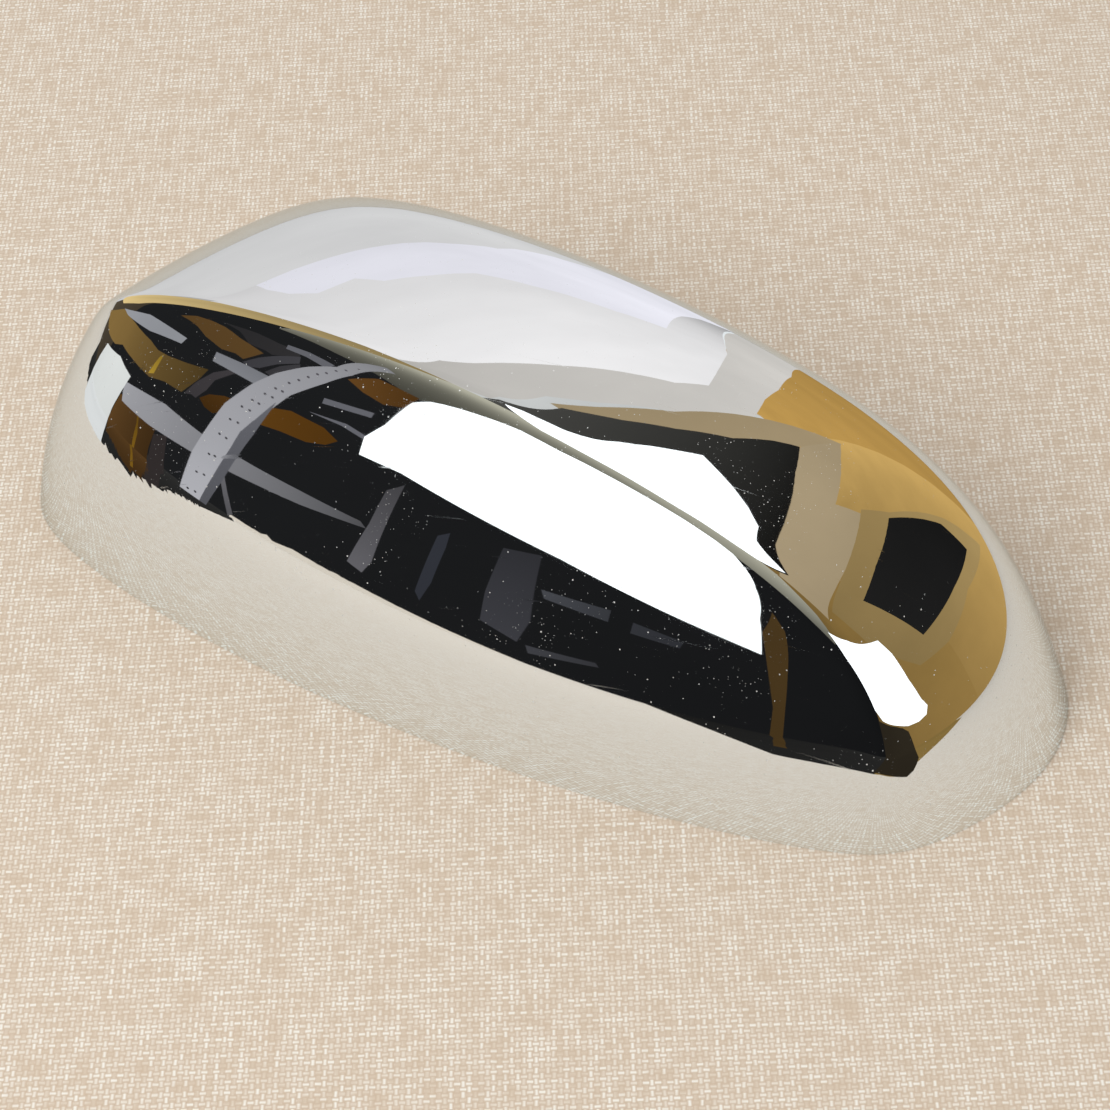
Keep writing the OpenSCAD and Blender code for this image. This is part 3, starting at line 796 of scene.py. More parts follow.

# Cards round the cover, seen in its plating alone. They glow but light nothing: the white lights
# are painted highlights, and the other cards are the room with its light and shade painted in. Each
# has a colour, an axis with the levels of painted light and shade at the card's low and high end
# along it, and corners given by bearing in degrees, distance and height in metres. A card that lies
# flat has one height, which stands behind its corners
CARDS = {
    # The three white lights light nothing: they are the plating's painted highlights
    "front_light": (WHITE, ("Z", 1.6, 1.6), (
        (-124.4, 0.89, 0.31), (-128, 0.89, 0.3), (-128.3, 0.89, 0.34), (-127.4, 0.87, 0.38),
        (-126.6, 0.84, 0.45), (-125.5, 0.83, 0.48), (-121.6, 0.79, 0.53), (-118, 0.76, 0.59),
        (-113.6, 0.75, 0.59), (-108, 0.72, 0.64), (-102, 0.68, 0.68), (-94.3, 0.64, 0.73),
        (-88, 0.63, 0.73), (-86.3, 0.67, 0.7), (-90.7, 0.79, 0.54), (-93.2, 0.85, 0.42),
        (-94.2, 0.89, 0.31), (-93.8, 0.91, 0.22), (-100.6, 0.91, 0.25), (-110.6, 0.9, 0.29),
    )),
    "top_light": (WHITE, ("Z", 1.6, 1.6), (
        (169, 0.2, 0.96), (157, 0.17, 0.96), (147, 0.1, 0.97), (83, 0.11, 0.97), (62, 0.13, 0.97),
        (38, 0.18, 0.96), (11, 0.22, 0.95), (-1, 0.26, 0.94), (-10, 0.3, 0.93), (-20, 0.32, 0.92),
        (-25, 0.36, 0.91), (-30, 0.43, 0.87), (-47, 0.4, 0.89), (-56, 0.37, 0.9),
        (-68, 0.33, 0.92), (-84, 0.35, 0.91), (-99, 0.37, 0.9), (-111, 0.44, 0.87),
        (-120, 0.46, 0.86), (-140, 0.28, 0.94),
    )),
    "right_light": (WHITE, ("Z", 1.6, 1.6), (
        (-58.4, 0.72, 0.64), (-38.4, 0.7, 0.66), (-28, 0.72, 0.63), (-21.2, 0.74, 0.61),
        (-20.3, 0.8, 0.53), (-20.7, 0.87, 0.37), (-20.2, 0.91, 0.23), (-19.4, 0.92, 0.18),
        (-20.8, 0.93, 0.14), (-24, 0.93, 0.13), (-29, 0.93, 0.14), (-36.1, 0.92, 0.17),
        (-51.3, 0.92, 0.21), (-57.6, 0.91, 0.26), (-59.5, 0.86, 0.39), (-61.5, 0.81, 0.51),
    )),
    "light_gap": ((0.55, 0.51, 0.4), ("Z", 0.12, 0.95), (
        (-153, 0.76, 0.73), (-146, 0.86, 0.61), (-136, 0.89, 0.54), (-127, 0.91, 0.5),
        (-121, 0.89, 0.54), (-114, 0.85, 0.6), (-106, 0.79, 0.67), (-98, 0.75, 0.72),
        (-88, 0.73, 0.72), (-80, 0.76, 0.68), (-72, 0.8, 0.62), (-64, 0.82, 0.58),
        (-58, 0.8, 0.64), (-50, 0.68, 0.8), (-44, 0.5, 0.93), (-46, 0.4, 0.98), (-60, 0.32, 1),
        (-84, 0.33, 1), (-100, 0.36, 0.99), (-111, 0.42, 0.96), (-120, 0.44, 0.96),
        (-140, 0.3, 1.03), (-165, 0.36, 1.01), (-158, 0.55, 0.91),
    )),
    "left_gap": ((0.8, 0.57, 0.25), ("Z", 1.1, 0.35), (
        (152, 1.01, 0.1), (178, 1.01, 0.15), (-170, 0.99, 0.28), (-162, 0.93, 0.46),
        (-157, 0.87, 0.59), (-153, 0.76, 0.73), (-158, 0.55, 0.91), (-165, 0.36, 1.01),
        (160, 0.5, 0.95), (149, 0.72, 0.77), (146, 0.84, 0.64), (147, 0.95, 0.43),
    )),
    "top_shade": ((1.0, 0.94, 0.85), ("X", 0.09, 0.004), (
        (-133, 0.62, 1.08), (155, 0.29, 1.24), (115, 0.29, 1.24), (92, 0.24, 1.25),
        (68.5, 0.25, 1.25), (49, 0.32, 1.23), (43.9, 0.42, 1.2), (40.3, 0.49, 1.17),
        (24, 0.43, 1.2), (12, 0.42, 1.2), (-3, 0.43, 1.2), (-15, 0.45, 1.19), (-22, 0.49, 1.17),
        (-30, 0.56, 1.13), (-48, 0.52, 1.15), (-80, 0.5, 1.15),
    )),
    "near_shade": ((0.95, 0.95, 1.0), ("X", 0.016, 0.008), (
        (-165, 1.7, 0), (-140, 1.5, 0), (-110, 1.4, 0), (-80, 1.4, 0), (-58, 1.45, 0),
        (-58, 1.45, 2.1), (-110, 1.4, 2.2), (-165, 1.7, 2.1),
    )),
    "brown_strip": (BROWN, ("Z", 0.9, 1.0), (
        (-95.1, 1.21, 0.36), (-93.6, 1.18, 0.46), (-92.6, 1.2, 0.4), (-92.5, 1.23, 0.24),
        (-92.3, 1.25, 0.12), (-92, 1.25, 0), (-93.1, 1.25, 0), (-93.3, 1.25, 0.11),
        (-94.4, 1.23, 0.26),
    )),
    "brown_strip_foot": (BROWN, ("Z", 0.9, 0.9), (
        (-93.1, 1.25), (-91.4, 0.9), (-89.9, 0.68), (-88.3, 0.55), (-86.7, 0.46), (-85.3, 0.46),
        (-87, 0.54), (-88.6, 0.67), (-90.3, 0.88), (-92, 1.25),
    ), 0.002),
    "low_shade": (SHADE, ("X", 1.0, 1.2), (
        (-59, 1.4, 0.3), (-51, 1.4, 0.29), (-38.5, 1.41, 0.25), (-33.3, 1.41, 0.21),
        (-30.4, 1.42, 0.16), (-30.1, 1.42, 0.08), (-30, 1.42, 0), (-59, 1.42, 0),
    )),
    "low_shade_foot": (SHADE, ("X", 1.0, 1.2), (
        (-59, 0.27), (-54, 0.26), (-45, 0.24), (-38, 0.22), (-34, 0.21), (-31, 0.23),
        (-29.5, 0.27), (-28.5, 0.34), (-29.9, 1.04), (-30, 1.42), (-59, 1.42),
    ), 0.002),
    "right_tan": ((0.62, 0.37, 0.11), ("Y", 0.28, 0.52), (
        (-60, 1.6, 0), (-40, 1.5, 0), (-5, 1.5, 0), (-5, 1.5, 4), (-60, 1.6, 4),
    )),
    "back_tan": ((0.66, 0.4, 0.125), ("Y", 0.52, 1.0), (
        (-5, 1.5, 0), (20, 1.5, 0), (50, 1.6, 0), (50, 1.6, 4), (20, 1.5, 4), (-5, 1.5, 4),
    )),
    "corner_tan": ((0.6, 0.34, 0.09), ("Z", 0.8, 1.0), (
        (50, 1.6, 0), (84, 1.8, 0), (84, 1.8, 4), (50, 1.6, 4),
    )),
    "high_edge": ((0.6, 0.55, 0.51), ("X", 0.92, 1.2), (
        *HIGH_EDGE, (88, 1.4, 0.07), (83, 1.4, 0), (76, 1.22, 0.73), (69.5, 0.86, 1.15),
        (66, 0.67, 1.28), (59, 0.51, 1.36), (78, 0.35, 1.41), (104, 0.35, 1.4), (118, 0.4, 1.39),
        (141, 0.37, 1.4), (180, 0.35, 1.41), (-160, 0.5, 1.36),
    )),
    "high_strip": ((0.42, 0.31, 0.18), ("X", 0.9, 1.0), (
        (59, 0.51, 1.36), (78, 0.35, 1.41), (104, 0.33, 1.4), (118, 0.36, 1.39), (115, 0.31, 1.41),
        (92, 0.25, 1.42), (68.5, 0.26, 1.42), (49, 0.34, 1.4), (42.6, 0.45, 1.37),
        (41, 0.56, 1.33), (46, 0.8, 1.2),
    )),
    "cream_panel": ((0.44, 0.33, 0.2), ("Z", 0.9, 1.0), (
        (40.5, 0.52, 1.24), (46, 0.74, 1.12), (37.5, 0.67, 1.17), (12.6, 0.58, 1.21),
        (12.3, 0.68, 1.16), (-2.5, 0.7, 1.15), (-19, 0.74, 1.12), (-38, 0.85, 1.04),
        (-42, 0.6, 1.18), (-29, 0.55, 1.21), (-22, 0.48, 1.24), (-15, 0.44, 1.26),
        (-3, 0.42, 1.27), (12, 0.4, 1.27), (24, 0.42, 1.27),
    )),
    "tan_panel": ((0.62, 0.41, 0.16), ("Y", 0.42, 0.75), (
        (14, 0.67, 1.14), (18, 0.8, 1.05), (32, 1.14, 0.63), (37, 1.27, 0.2), (12, 1.2, 0.49),
        (-5, 1.21, 0.48), (-15.5, 1.19, 0.53), (-24.5, 1.03, 0.81), (-28, 0.79, 1.05),
        (-6, 0.69, 1.13),
    )),
    "dark_panel": ((0.85, 0.8, 0.78), ("Y", 0.018, 0.012), (
        (15, 0.69, 0.91), (27, 0.94, 0.61), (26, 1.04, 0.41), (8, 0.99, 0.53), (-10, 0.97, 0.57),
        (-15, 0.73, 0.88), (-4, 0.69, 0.91),
    )),
    "back_low": ((0.75, 0.71, 0.7), ("Y", 0.97, 1.03), (
        (88, 1.4, 0), (115, 1.4, 0), (165, 1.4, 0), (165, 1.25, 0.69), (150, 1.25, 0.69),
        (136, 1.25, 0.69), *reversed(LOW_EDGE),
    )),
    "back_high": ((0.92, 0.87, 0.93), ("X", 0.92, 1.05), (*LOW_EDGE, *MIDDLE_EDGE)),
    "high_white": ((1.0, 0.94, 0.93), ("Z", 0.42, 1.0), (
        (165, 1.25, 0.69), (150, 1.25, 0.69), (136, 1.25, 0.69), *MIDDLE_EDGE,
        *reversed(HIGH_EDGE), (175, 0.9, 1.12),
    )),
    "left_edge": ((0.52, 0.49, 0.47), ("Z", 1.05, 0.85), (
        (150, 1.36, 0.29), (143, 1.28, 0.57), (141, 1.16, 0.8), (143, 0.98, 1.03),
        (150, 0.89, 1.11), (160, 0.81, 1.17), (170, 0.9, 1.1), (160, 1.2, 0.69),
    )),
    "far_ring": ((0.8, 0.78, 0.76), ("Z", 0.8, 1.0), (
        (30, 2, 4), (84, 2, 4), (115, 2, 4), (160, 2, 4), (-160, 2, 4), (-100, 2, 4), (-40, 2, 4),
    )),
    "left_shade": ((0.2, 0.15, 0.1), ("Y", 0.3, 0.6), (
        (160, 1.8, 0), (178, 1.6, 0), (-165, 1.3, 0), (-165, 1.3, 1.5), (178, 1.6, 1.6),
        (160, 1.8, 1.6),
    )),
    "post": (PALE_METAL, ("Z", 0.62, 0.3), (
        (-140.7, 0.97, 0), (-140.6, 0.97, 0.1), (-140.2, 0.96, 0.17), (-139.8, 0.95, 0.24),
        (-138.6, 0.93, 0.31), (-137.4, 0.92, 0.36), (-135.6, 0.9, 0.41), (-133.7, 0.88, 0.45),
        (-132.5, 0.8, 0.6), (-130.5, 0.82, 0.56), (-132.1, 0.88, 0.45), (-133.4, 0.9, 0.4),
        (-135.2, 0.93, 0.34), (-136.1, 0.94, 0.28), (-136.5, 0.96, 0.2), (-137.3, 0.97, 0.12),
        (-137.7, 0.97, 0.06), (-138, 0.97, 0),
    )),
    "bar_high": ((0.82, 0.8, 0.86), ("Z", 0.3, 0.24), (
        (-143.5, 0.94, 0.32), (-140.1, 0.94, 0.34), (-137, 0.93, 0.35), (-137.1, 0.94, 0.32),
        (-140, 0.94, 0.31), (-143.2, 0.95, 0.3),
    )),
    "bar_low": (PALE_METAL, ("X", 0.5, 0.1), (
        (-153.6, 0.98, 0.11), (-145.3, 0.98, 0.15), (-139.9, 0.97, 0.15), (-135, 0.97, 0.16),
        (-131, 0.97, 0.17), (-125.7, 0.97, 0.18), (-125.1, 0.97, 0.17), (-130.5, 0.98, 0.14),
        (-135, 0.98, 0.13), (-139.7, 0.98, 0.1), (-146.1, 0.98, 0.08), (-152.2, 0.98, 0.07),
    )),
    "left_strip": ((0.85, 0.83, 0.88), ("X", 0.42, 0.36), (
        (-174, 0.97, 0.16), (-158.7, 0.96, 0.27), (-147.8, 0.95, 0.3), (-148, 0.95, 0.28),
        (-155, 0.96, 0.24), (-168, 0.97, 0.18),
    )),
    "left_mat": (CREAM, ("X", 0.04, 0.02), (
        (-175, 0.6), (-163, 0.49), (-156, 0.4), (-150, 0.36), (-144, 0.47), (-139, 0.69),
        (-135, 1.1), (-135, 1.6), (-175, 1.7),
    ), 0.001),
    "near_mat": (CREAM, ("X", 0.012, 0.03), (
        (-103, 1.4), (-94, 0.56), (-82, 0.31), (-77, 0.3), (-69, 0.28), (-58, 0.26), (-58, 1.45),
        (-80, 1.4),
    ), 0.001),
    "right_mat": ((0.64, 0.4, 0.12), ("Y", 0.35, 0.4), (
        (-58, 0.26), (-54, 0.26), (-36, 0.23), (-28, 0.31), (-21, 0.44), (-12, 1), (-14, 1.5),
        (-40, 1.5), (-58, 1.5),
    ), 0.001),
    "pale_hem": ((0.78, 0.68, 0.57), ("X", 1.0, 1.0), (
        (-135.3, 1.36, 0.006), (-132, 1.36, 0.012), (-125, 1.36, 0.01), (-119, 1.36, 0.005),
        (-112, 1.36, 0.001), (-112, 1.36, 0), (-135.3, 1.36, 0),
    )),
    "left_panel": ((1.0, 0.98, 0.94), ("Z", 0.78, 0.82), (
        (-168.2, 0.97, 0.08), (-158.4, 0.97, 0.13), (-152.8, 0.97, 0.13), (-153.3, 0.97, 0.08),
        (-153.7, 0.97, 0.03), (-153.7, 0.97, 0), (-168.6, 0.97, 0), (-168.7, 0.97, 0.04),
    )),
    "left_panel_foot": ((1.0, 0.98, 0.96), ("Z", 0.82, 0.82), (
        (-153.7, 0.97), (-154.9, 0.57), (-156.4, 0.37), (-159.6, 0.39), (-165.8, 0.41),
        (-168.3, 0.46), (-168.5, 0.84), (-168.6, 0.97),
    ), 0.002),
    "tan_high": ((0.27, 0.16, 0.05), ("X", 1.0, 0.28), (
        (172.8, 0.99, 0), (-173.8, 0.98, 0.16), (-161.6, 0.98, 0.21), (-153.2, 0.97, 0.23),
        (-150.7, 0.97, 0.23), (-148.5, 0.97, 0.24), (-145.6, 0.97, 0.26), (-143, 0.96, 0.28),
        (-143.3, 0.97, 0.25), (-144.3, 0.98, 0.2), (-146.9, 0.98, 0.19), (-149.4, 0.98, 0.17),
        (-155.3, 0.98, 0.16), (-160.2, 0.99, 0.15), (-163.7, 0.99, 0.12), (-171.4, 0.99, 0.08),
    )),
    "tan_low": (TAN, ("X", 1.0, 0.45), (
        (-153.1, 0.99, 0.08), (-148.7, 0.99, 0.09), (-145.2, 0.99, 0.09), (-145.5, 0.99, 0.06),
        (-145.2, 0.99, 0.03), (-145, 0.99, 0), (-153.7, 0.99, 0), (-153.7, 0.99, 0.01),
    )),
    "tan_low_foot": (TAN, ("X", 0.9, 0.5), (
        (-153.7, 0.99), (-154.4, 0.6), (-152.6, 0.52), (-151.5, 0.45), (-150, 0.37),
        (-147.8, 0.38), (-145.6, 0.6), (-145, 0.99),
    ), 0.002),
    "gold_high": ((0.46, 0.28, 0.035), ("Z", 1.0, 0.6), (
        (-149.3, 0.94, 0.23), (-149.7, 0.95, 0.22), (-149.9, 0.95, 0.2), (-150, 0.95, 0.17),
        (-149.1, 0.95, 0.18), (-149.2, 0.95, 0.2),
    )),
    "gold_low": (GOLD, ("Z", 1.0, 0.6), (
        (-148.7, 0.985, 0.09), (-148, 0.985, 0.06), (-147.7, 0.985, 0.02), (-147.5, 0.985, 0),
        (-147.1, 0.985, 0), (-147.3, 0.985, 0.04), (-148.3, 0.985, 0.09),
    )),
    "gold_foot": (GOLD, ("X", 0.8, 1.0), (
        (-147.5, 0.985), (-147.9, 0.68), (-149, 0.42), (-149.5, 0.42), (-148.3, 0.68),
        (-147.9, 0.985),
    ), 0.003),
    "strip_low": (BLACK, ("Z", 1.0, 1.0), (
        (-145.2, 0.98, 0.07), (-143.6, 0.98, 0.09), (-143, 0.98, 0.03), (-142.6, 0.98, 0),
        (-144.9, 0.98, 0),
    )),
    "strip_foot": (BLACK, ("Z", 1.0, 1.0), (
        (-144.9, 0.98), (-145.3, 0.8), (-147.4, 0.38), (-145.2, 0.42), (-143.4, 0.8),
        (-142.6, 0.98),
    ), 0.002),
    "brown_patch": ((0.112, 0.058, 0.019), ("Z", 0.95, 1.0), (
        (-152.3, 0.95, 0.35), (-150.3, 0.94, 0.39), (-147.8, 0.94, 0.4), (-145.3, 0.94, 0.4),
        (-142.6, 0.94, 0.39), (-141, 0.94, 0.39), (-139.5, 0.94, 0.39), (-140.1, 0.95, 0.37),
        (-140.7, 0.95, 0.35), (-141.7, 0.95, 0.35), (-143.2, 0.96, 0.34), (-144.5, 0.96, 0.34),
        (-145.9, 0.96, 0.34), (-147.9, 0.96, 0.35), (-149.8, 0.95, 0.35),
    )),
    "beam_high": ((0.034, 0.031, 0.032), ("X", 0.7, 1.0), (
        (-146.8, 0.93, 0.42), (-144.2, 0.92, 0.43), (-142.1, 0.92, 0.44), (-139.5, 0.92, 0.44),
        (-137.1, 0.92, 0.45), (-136.7, 0.92, 0.43), (-138.8, 0.94, 0.4), (-139.6, 0.94, 0.4),
        (-141.4, 0.94, 0.39), (-143.5, 0.93, 0.41),
    )),
    "beam_mid": ((0.06, 0.056, 0.062), ("X", 0.8, 1.0), (
        (-140.6, 0.94, 0.34), (-139.6, 0.93, 0.37), (-138.3, 0.92, 0.4), (-136.7, 0.91, 0.43),
        (-136.3, 0.91, 0.41), (-137.8, 0.92, 0.38), (-138.9, 0.93, 0.35), (-139.8, 0.94, 0.34),
    )),
    "beam_low": ((0.055, 0.047, 0.05), ("X", 0.9, 1.0), (
        (-144, 0.97, 0.2), (-143.4, 0.96, 0.24), (-142.4, 0.95, 0.28), (-141.1, 0.95, 0.31),
        (-140.1, 0.94, 0.32), (-140.8, 0.95, 0.3), (-141.8, 0.96, 0.27), (-142, 0.96, 0.24),
        (-142.6, 0.97, 0.21), (-143.2, 0.97, 0.21),
    )),
    "beam_side": ((0.05, 0.046, 0.05), ("X", 0.8, 1.0), (
        (-138.3, 0.93, 0.35), (-137.5, 0.92, 0.38), (-136.2, 0.91, 0.41), (-135.9, 0.92, 0.4),
        (-137, 0.92, 0.37), (-137.6, 0.93, 0.35),
    )),
    "amber_left": ((0.085, 0.036, 0.008), ("Z", 0.7, 1.0), (
        (-142.2, 0.99, 0.22), (-141.5, 0.98, 0.24), (-140.1, 0.98, 0.26), (-138.7, 0.98, 0.27),
        (-139.3, 0.98, 0.23), (-140.3, 0.99, 0.21), (-141.3, 0.99, 0.21),
    )),
    "amber_mid": ((0.125, 0.05, 0.008), ("X", 1.0, 0.7), (
        (-136.7, 0.98, 0.25), (-136.1, 0.97, 0.3), (-134.4, 0.96, 0.32), (-131.4, 0.96, 0.33),
        (-129.9, 0.96, 0.32), (-130.6, 0.97, 0.3), (-132.1, 0.97, 0.28), (-134.3, 0.98, 0.27),
    )),
    "amber_high": ((0.14, 0.06, 0.015), ("X", 1.0, 0.55), (
        (-132.1, 0.92, 0.45), (-130.2, 0.9, 0.5), (-126.4, 0.89, 0.5), (-126.6, 0.91, 0.46),
        (-128.4, 0.92, 0.44), (-130.4, 0.92, 0.44),
    )),
    "streak_high": (GREY, ("X", 1.0, 1.0), (
        (-138.7, 0.91, 0.45), (-136.6, 0.9, 0.46), (-133.9, 0.9, 0.46), (-134.2, 0.91, 0.44),
        (-136.4, 0.91, 0.44), (-138.4, 0.91, 0.43),
    )),
    "streak_mid": (GREY, ("X", 1.0, 1.0), (
        (-132.7, 0.93, 0.38), (-128.6, 0.92, 0.41), (-128.6, 0.93, 0.4), (-132.6, 0.94, 0.37),
    )),
    "streak_low": (GREY, ("X", 1.0, 1.0), (
        (-133.1, 0.95, 0.34), (-130, 0.94, 0.36), (-128.1, 0.94, 0.36), (-128.3, 0.94, 0.35),
        (-130.3, 0.94, 0.35), (-133, 0.95, 0.34),
    )),
    # The post's shaded side: painted shade, a darker copy of the post's pale metal
    "post_side": ((0.135, 0.13, 0.145), ("Z", 0.8, 1.1), (
        (-136.2, 0.915, 0.33), (-136.9, 0.935, 0.26), (-137.3, 0.945, 0.22), (-137.5, 0.95, 0.16),
        (-138, 0.955, 0.08), (-138.6, 0.96, 0), (-137.9, 0.96, 0), (-137.1, 0.955, 0.08),
        (-136.6, 0.95, 0.16), (-136.2, 0.945, 0.22), (-135.9, 0.92, 0.3),
    )),
    "thin_bar": ((0.16, 0.15, 0.16), ("Z", 0.6, 1.0), (
        (-137.6, 0.975, 0.1), (-137.1, 0.975, 0.1), (-135.4, 0.975, 0.02), (-135.8, 0.975, 0.01),
    )),
    "far_bar": ((0.14, 0.13, 0.14), ("Z", 1.0, 0.45), (
        (-123.7, 0.96, 0.31), (-124.8, 0.97, 0.28), (-125, 0.99, 0.19), (-125.7, 1, 0.07),
        (-124.4, 1, 0.06), (-123.9, 1, 0.1), (-123.8, 0.99, 0.21),
    )),
    "tall_bar": ((0.035, 0.036, 0.045), ("Z", 1.0, 1.0), (
        (-119.1, 0.98, 0.26), (-119.9, 0.98, 0.24), (-120.2, 1, 0.08), (-119.7, 1, 0.06),
        (-119.2, 1, 0.12), (-119, 0.98, 0.22),
    )),
    "wide_bar": ((0.05, 0.048, 0.055), ("Z", 1.1, 0.7), (
        (-112.1, 0.97, 0.3), (-115, 0.97, 0.28), (-115.2, 0.99, 0.16), (-115, 1, 0.08),
        (-112, 1, 0.06), (-111.4, 1, 0.13), (-111.8, 0.99, 0.22),
    )),
    "rung_high": ((0.075, 0.075, 0.085), ("X", 1.0, 0.6), (
        (-111.3, 0.98, 0.22), (-105.9, 0.97, 0.23), (-105.9, 0.98, 0.2), (-110.9, 0.98, 0.2),
    )),
    "rung_low": ((0.06, 0.058, 0.065), ("X", 1.0, 0.7), (
        (-111.3, 0.99, 0.06), (-106, 0.99, 0.08), (-105.7, 0.99, 0.07), (-111, 0.99, 0.04),
    )),
    "rung_far": ((0.04, 0.04, 0.046), ("X", 1.0, 0.8), (
        (-104.1, 0.98, 0.22), (-100.1, 0.98, 0.21), (-100.3, 0.98, 0.19), (-104.1, 0.98, 0.19),
    )),
}


# The row of holes in the post, from its foot up, as small dark rounds just in front of it: their
# bearings, distances and heights, their radius and their colour and levels
POST_HOLES = (
    (-139.98, 0.929, 0.012), (-139.20, 0.929, 0.016), (-139.61, 0.930, 0.061),
    (-138.86, 0.930, 0.066), (-139.08, 0.928, 0.116), (-138.52, 0.927, 0.120),
    (-138.96, 0.922, 0.170), (-138.24, 0.922, 0.171), (-138.70, 0.916, 0.211),
    (-137.94, 0.915, 0.215), (-138.34, 0.909, 0.249), (-137.57, 0.908, 0.252),
    (-137.84, 0.903, 0.273), (-137.18, 0.902, 0.275), (-137.19, 0.896, 0.299),
    (-136.48, 0.895, 0.302), (-136.68, 0.890, 0.321), (-136.04, 0.889, 0.324),
    (-135.99, 0.882, 0.346), (-135.46, 0.876, 0.362), (-134.97, 0.870, 0.378),
    (-134.50, 0.864, 0.394), (-133.97, 0.859, 0.407), (-133.49, 0.852, 0.424),
    (-132.92, 0.845, 0.439), (-132.30, 0.833, 0.464),
)
HOLE_R = 0.0024
HOLE_LOOK = (0.10, 0.09, 0.10), ("Z", 0.2, 1.2)

# Cards with one torn edge: its first and last corner, which of a corner's three numbers the tears
# change, by what share at most, and the length of a tear
DISTANCE, HEIGHT = 1, 2
FRAYED = {
    "left_mat": (0, 5, DISTANCE, 0.07, 0.006),
    "tan_low_foot": (1, 6, DISTANCE, 0.07, 0.006),
    "strip_foot": (2, 3, DISTANCE, 0.07, 0.006),
    "pale_hem": (0, 4, HEIGHT, 0.9, 0.013),
}

FLOOR_DROP = 0.0001
LAMP_PLACE = -0.5, -0.9, 1.3
CAMERA_PLACE = 0.16462, -0.40442, 0.533
# Level at which the camera and reflections see the sky
SKY_SEEN = 0.9


def place_object(name, data):
    """Adds an object to the scene"""
    thing = bpy.data.objects.new(name, data)
    bpy.context.scene.collection.objects.link(thing)
    return thing


def new_object(name, bm):
    """Makes an object of a finished bmesh"""
    mesh = bpy.data.meshes.new(name)
    bm.to_mesh(mesh)
    bm.free()
    return place_object(name, mesh)


def card_corner(bearing, distance, height):
    """Place of a card's corner, from a bearing in degrees and metres"""
    turn = radians(bearing)
    return Vector((distance * cos(turn), distance * sin(turn), height))


def fray(corners, first, last, part, depth, tear):
    """Breaks one edge of a card into short steps of uneven depth"""
    draw = random.Random(first)
    torn = list(corners[:first])
    for start, end in zip(corners[first:last], corners[first + 1:last + 1]):
        steps = round((card_corner(*end) - card_corner(*start)).length / tear)
        for k in range(steps):
            corner = [a + (b - a) * k / steps for a, b in zip(start, end)]
            corner[part] *= 1 + depth * draw.uniform(-1, 1)
            torn.append(corner)
    return torn + list(corners[last:])


def add_card(name, tint, shading, corners, *flat):
    """Adds one card, a flat or folded sheet between its corners"""
    corners = [(*corner, *flat) for corner in corners]
    if name in FRAYED:
        corners = fray(corners, *FRAYED[name])
    bm = bmesh.new()
    bm.faces.new([bm.verts.new(card_corner(*corner)) for corner in corners])
    bmesh.ops.triangulate(bm, faces=bm.faces)
    finish_card(name, bm, tint, shading)


def add_post_holes():
    """Adds the holes of the post as one card of small rounds that face the cover"""
    bm = bmesh.new()
    for hole in POST_HOLES:
        place = card_corner(*hole)
        turn = place.to_track_quat("Z", "Y").to_matrix().to_4x4()
        bmesh.ops.create_circle(
            bm, cap_ends=True, segments=8, radius=HOLE_R, matrix=Matrix.Translation(place) @ turn,
        )
    finish_card("post_holes", bm, *HOLE_LOOK)


def finish_card(name, bm, tint, shading):
    """Makes a card that neither lights nor shades anything and shows only in reflections"""
    card = new_object(f"card_{name}", bm)
    places = [v.co["XYZ".index(shading[0])] for v in card.data.vertices]
    run = min(places), max(max(places), min(places) + LEAST_RUN)
    card.data.materials.append(card_material(f"Card {name}", tint, shading, run))
    card.visible_camera = card.visible_diffuse = card.visible_shadow = False


def add_floor(stage):
    """Adds the floor just below the rim"""
    bm = bmesh.new()
    bmesh.ops.create_grid(bm, x_segments=1, y_segments=1, size=stage.floor_l / 2)
    bmesh.ops.translate(bm, verts=bm.verts, vec=(0, 0, -FLOOR_DROP))
    floor = new_object("floor", bm)
    floor.data.materials.append(floor_material(stage))


def add_lamp(stage):
    """Adds a square soft lamp that faces the cover and leaves the reflections to the cards"""
    lamp = bpy.data.lights.new("key_lamp", "AREA")
    lamp.energy, lamp.size = stage.key_power, stage.key_l
    thing = place_object("key_lamp", lamp)
    thing.location = LAMP_PLACE
    thing.rotation_euler = (-Vector(LAMP_PLACE)).to_track_quat("-Z", "Y").to_euler()
    thing.visible_glossy = False


def set_world(stage):
    """Even light from all round, which also stands behind the cards"""
    world = bpy.data.worlds.new("Studio")
    bpy.context.scene.world = world
    n = fresh_nodes(world)
    path = n.add("ShaderNodeLightPath").outputs
    seen = n.math("MAXIMUM", path["Is Camera Ray"], path["Is Glossy Ray"])
    level = n.spread(seen, 0, 1, stage.sky_level, SKY_SEEN)
    sky = n.add("ShaderNodeBackground", Color=(*stage.sky, 1), Strength=level)
    n.add("ShaderNodeOutputWorld", Surface=sky.outputs["Background"])


def add_camera(stage):
    """Adds the camera at the photograph's viewing angle"""
    camera = bpy.data.cameras.new("camera")
    camera.lens, camera.sensor_width = stage.lens, 36
    thing = place_object("camera", camera)
    turn = Matrix.Rotation(stage.cam_bearing, 4, "Z")
    tilt = Matrix.Rotation(pi / 2 - stage.cam_pitch, 4, "X")
    roll = Matrix.Rotation(stage.cam_roll, 4, "Z")
    thing.matrix_world = Matrix.Translation(CAMERA_PLACE) @ turn @ tilt @ roll
    bpy.context.scene.camera = thing


# Operators


def skin_and_fittings(context):
    """The skin and the sizes of the fittings, as the scene has them now"""
    return Skin(context.scene.cover_skin), context.scene.cover_fittings


class COVER_OT_shell(Operator):
    """Lay the shell over the skin and join its inside to its outside at the rim"""

    bl_idname = "cover.shell"
    bl_label = "Shell"

    def execute(self, context):
        skin, fit = skin_and_fittings(context)
        new_object(MOULDING, bmesh.new())
        with moulding_mesh(skin) as bm:
            lay_shell(bm, skin, fit)
        return {"FINISHED"}


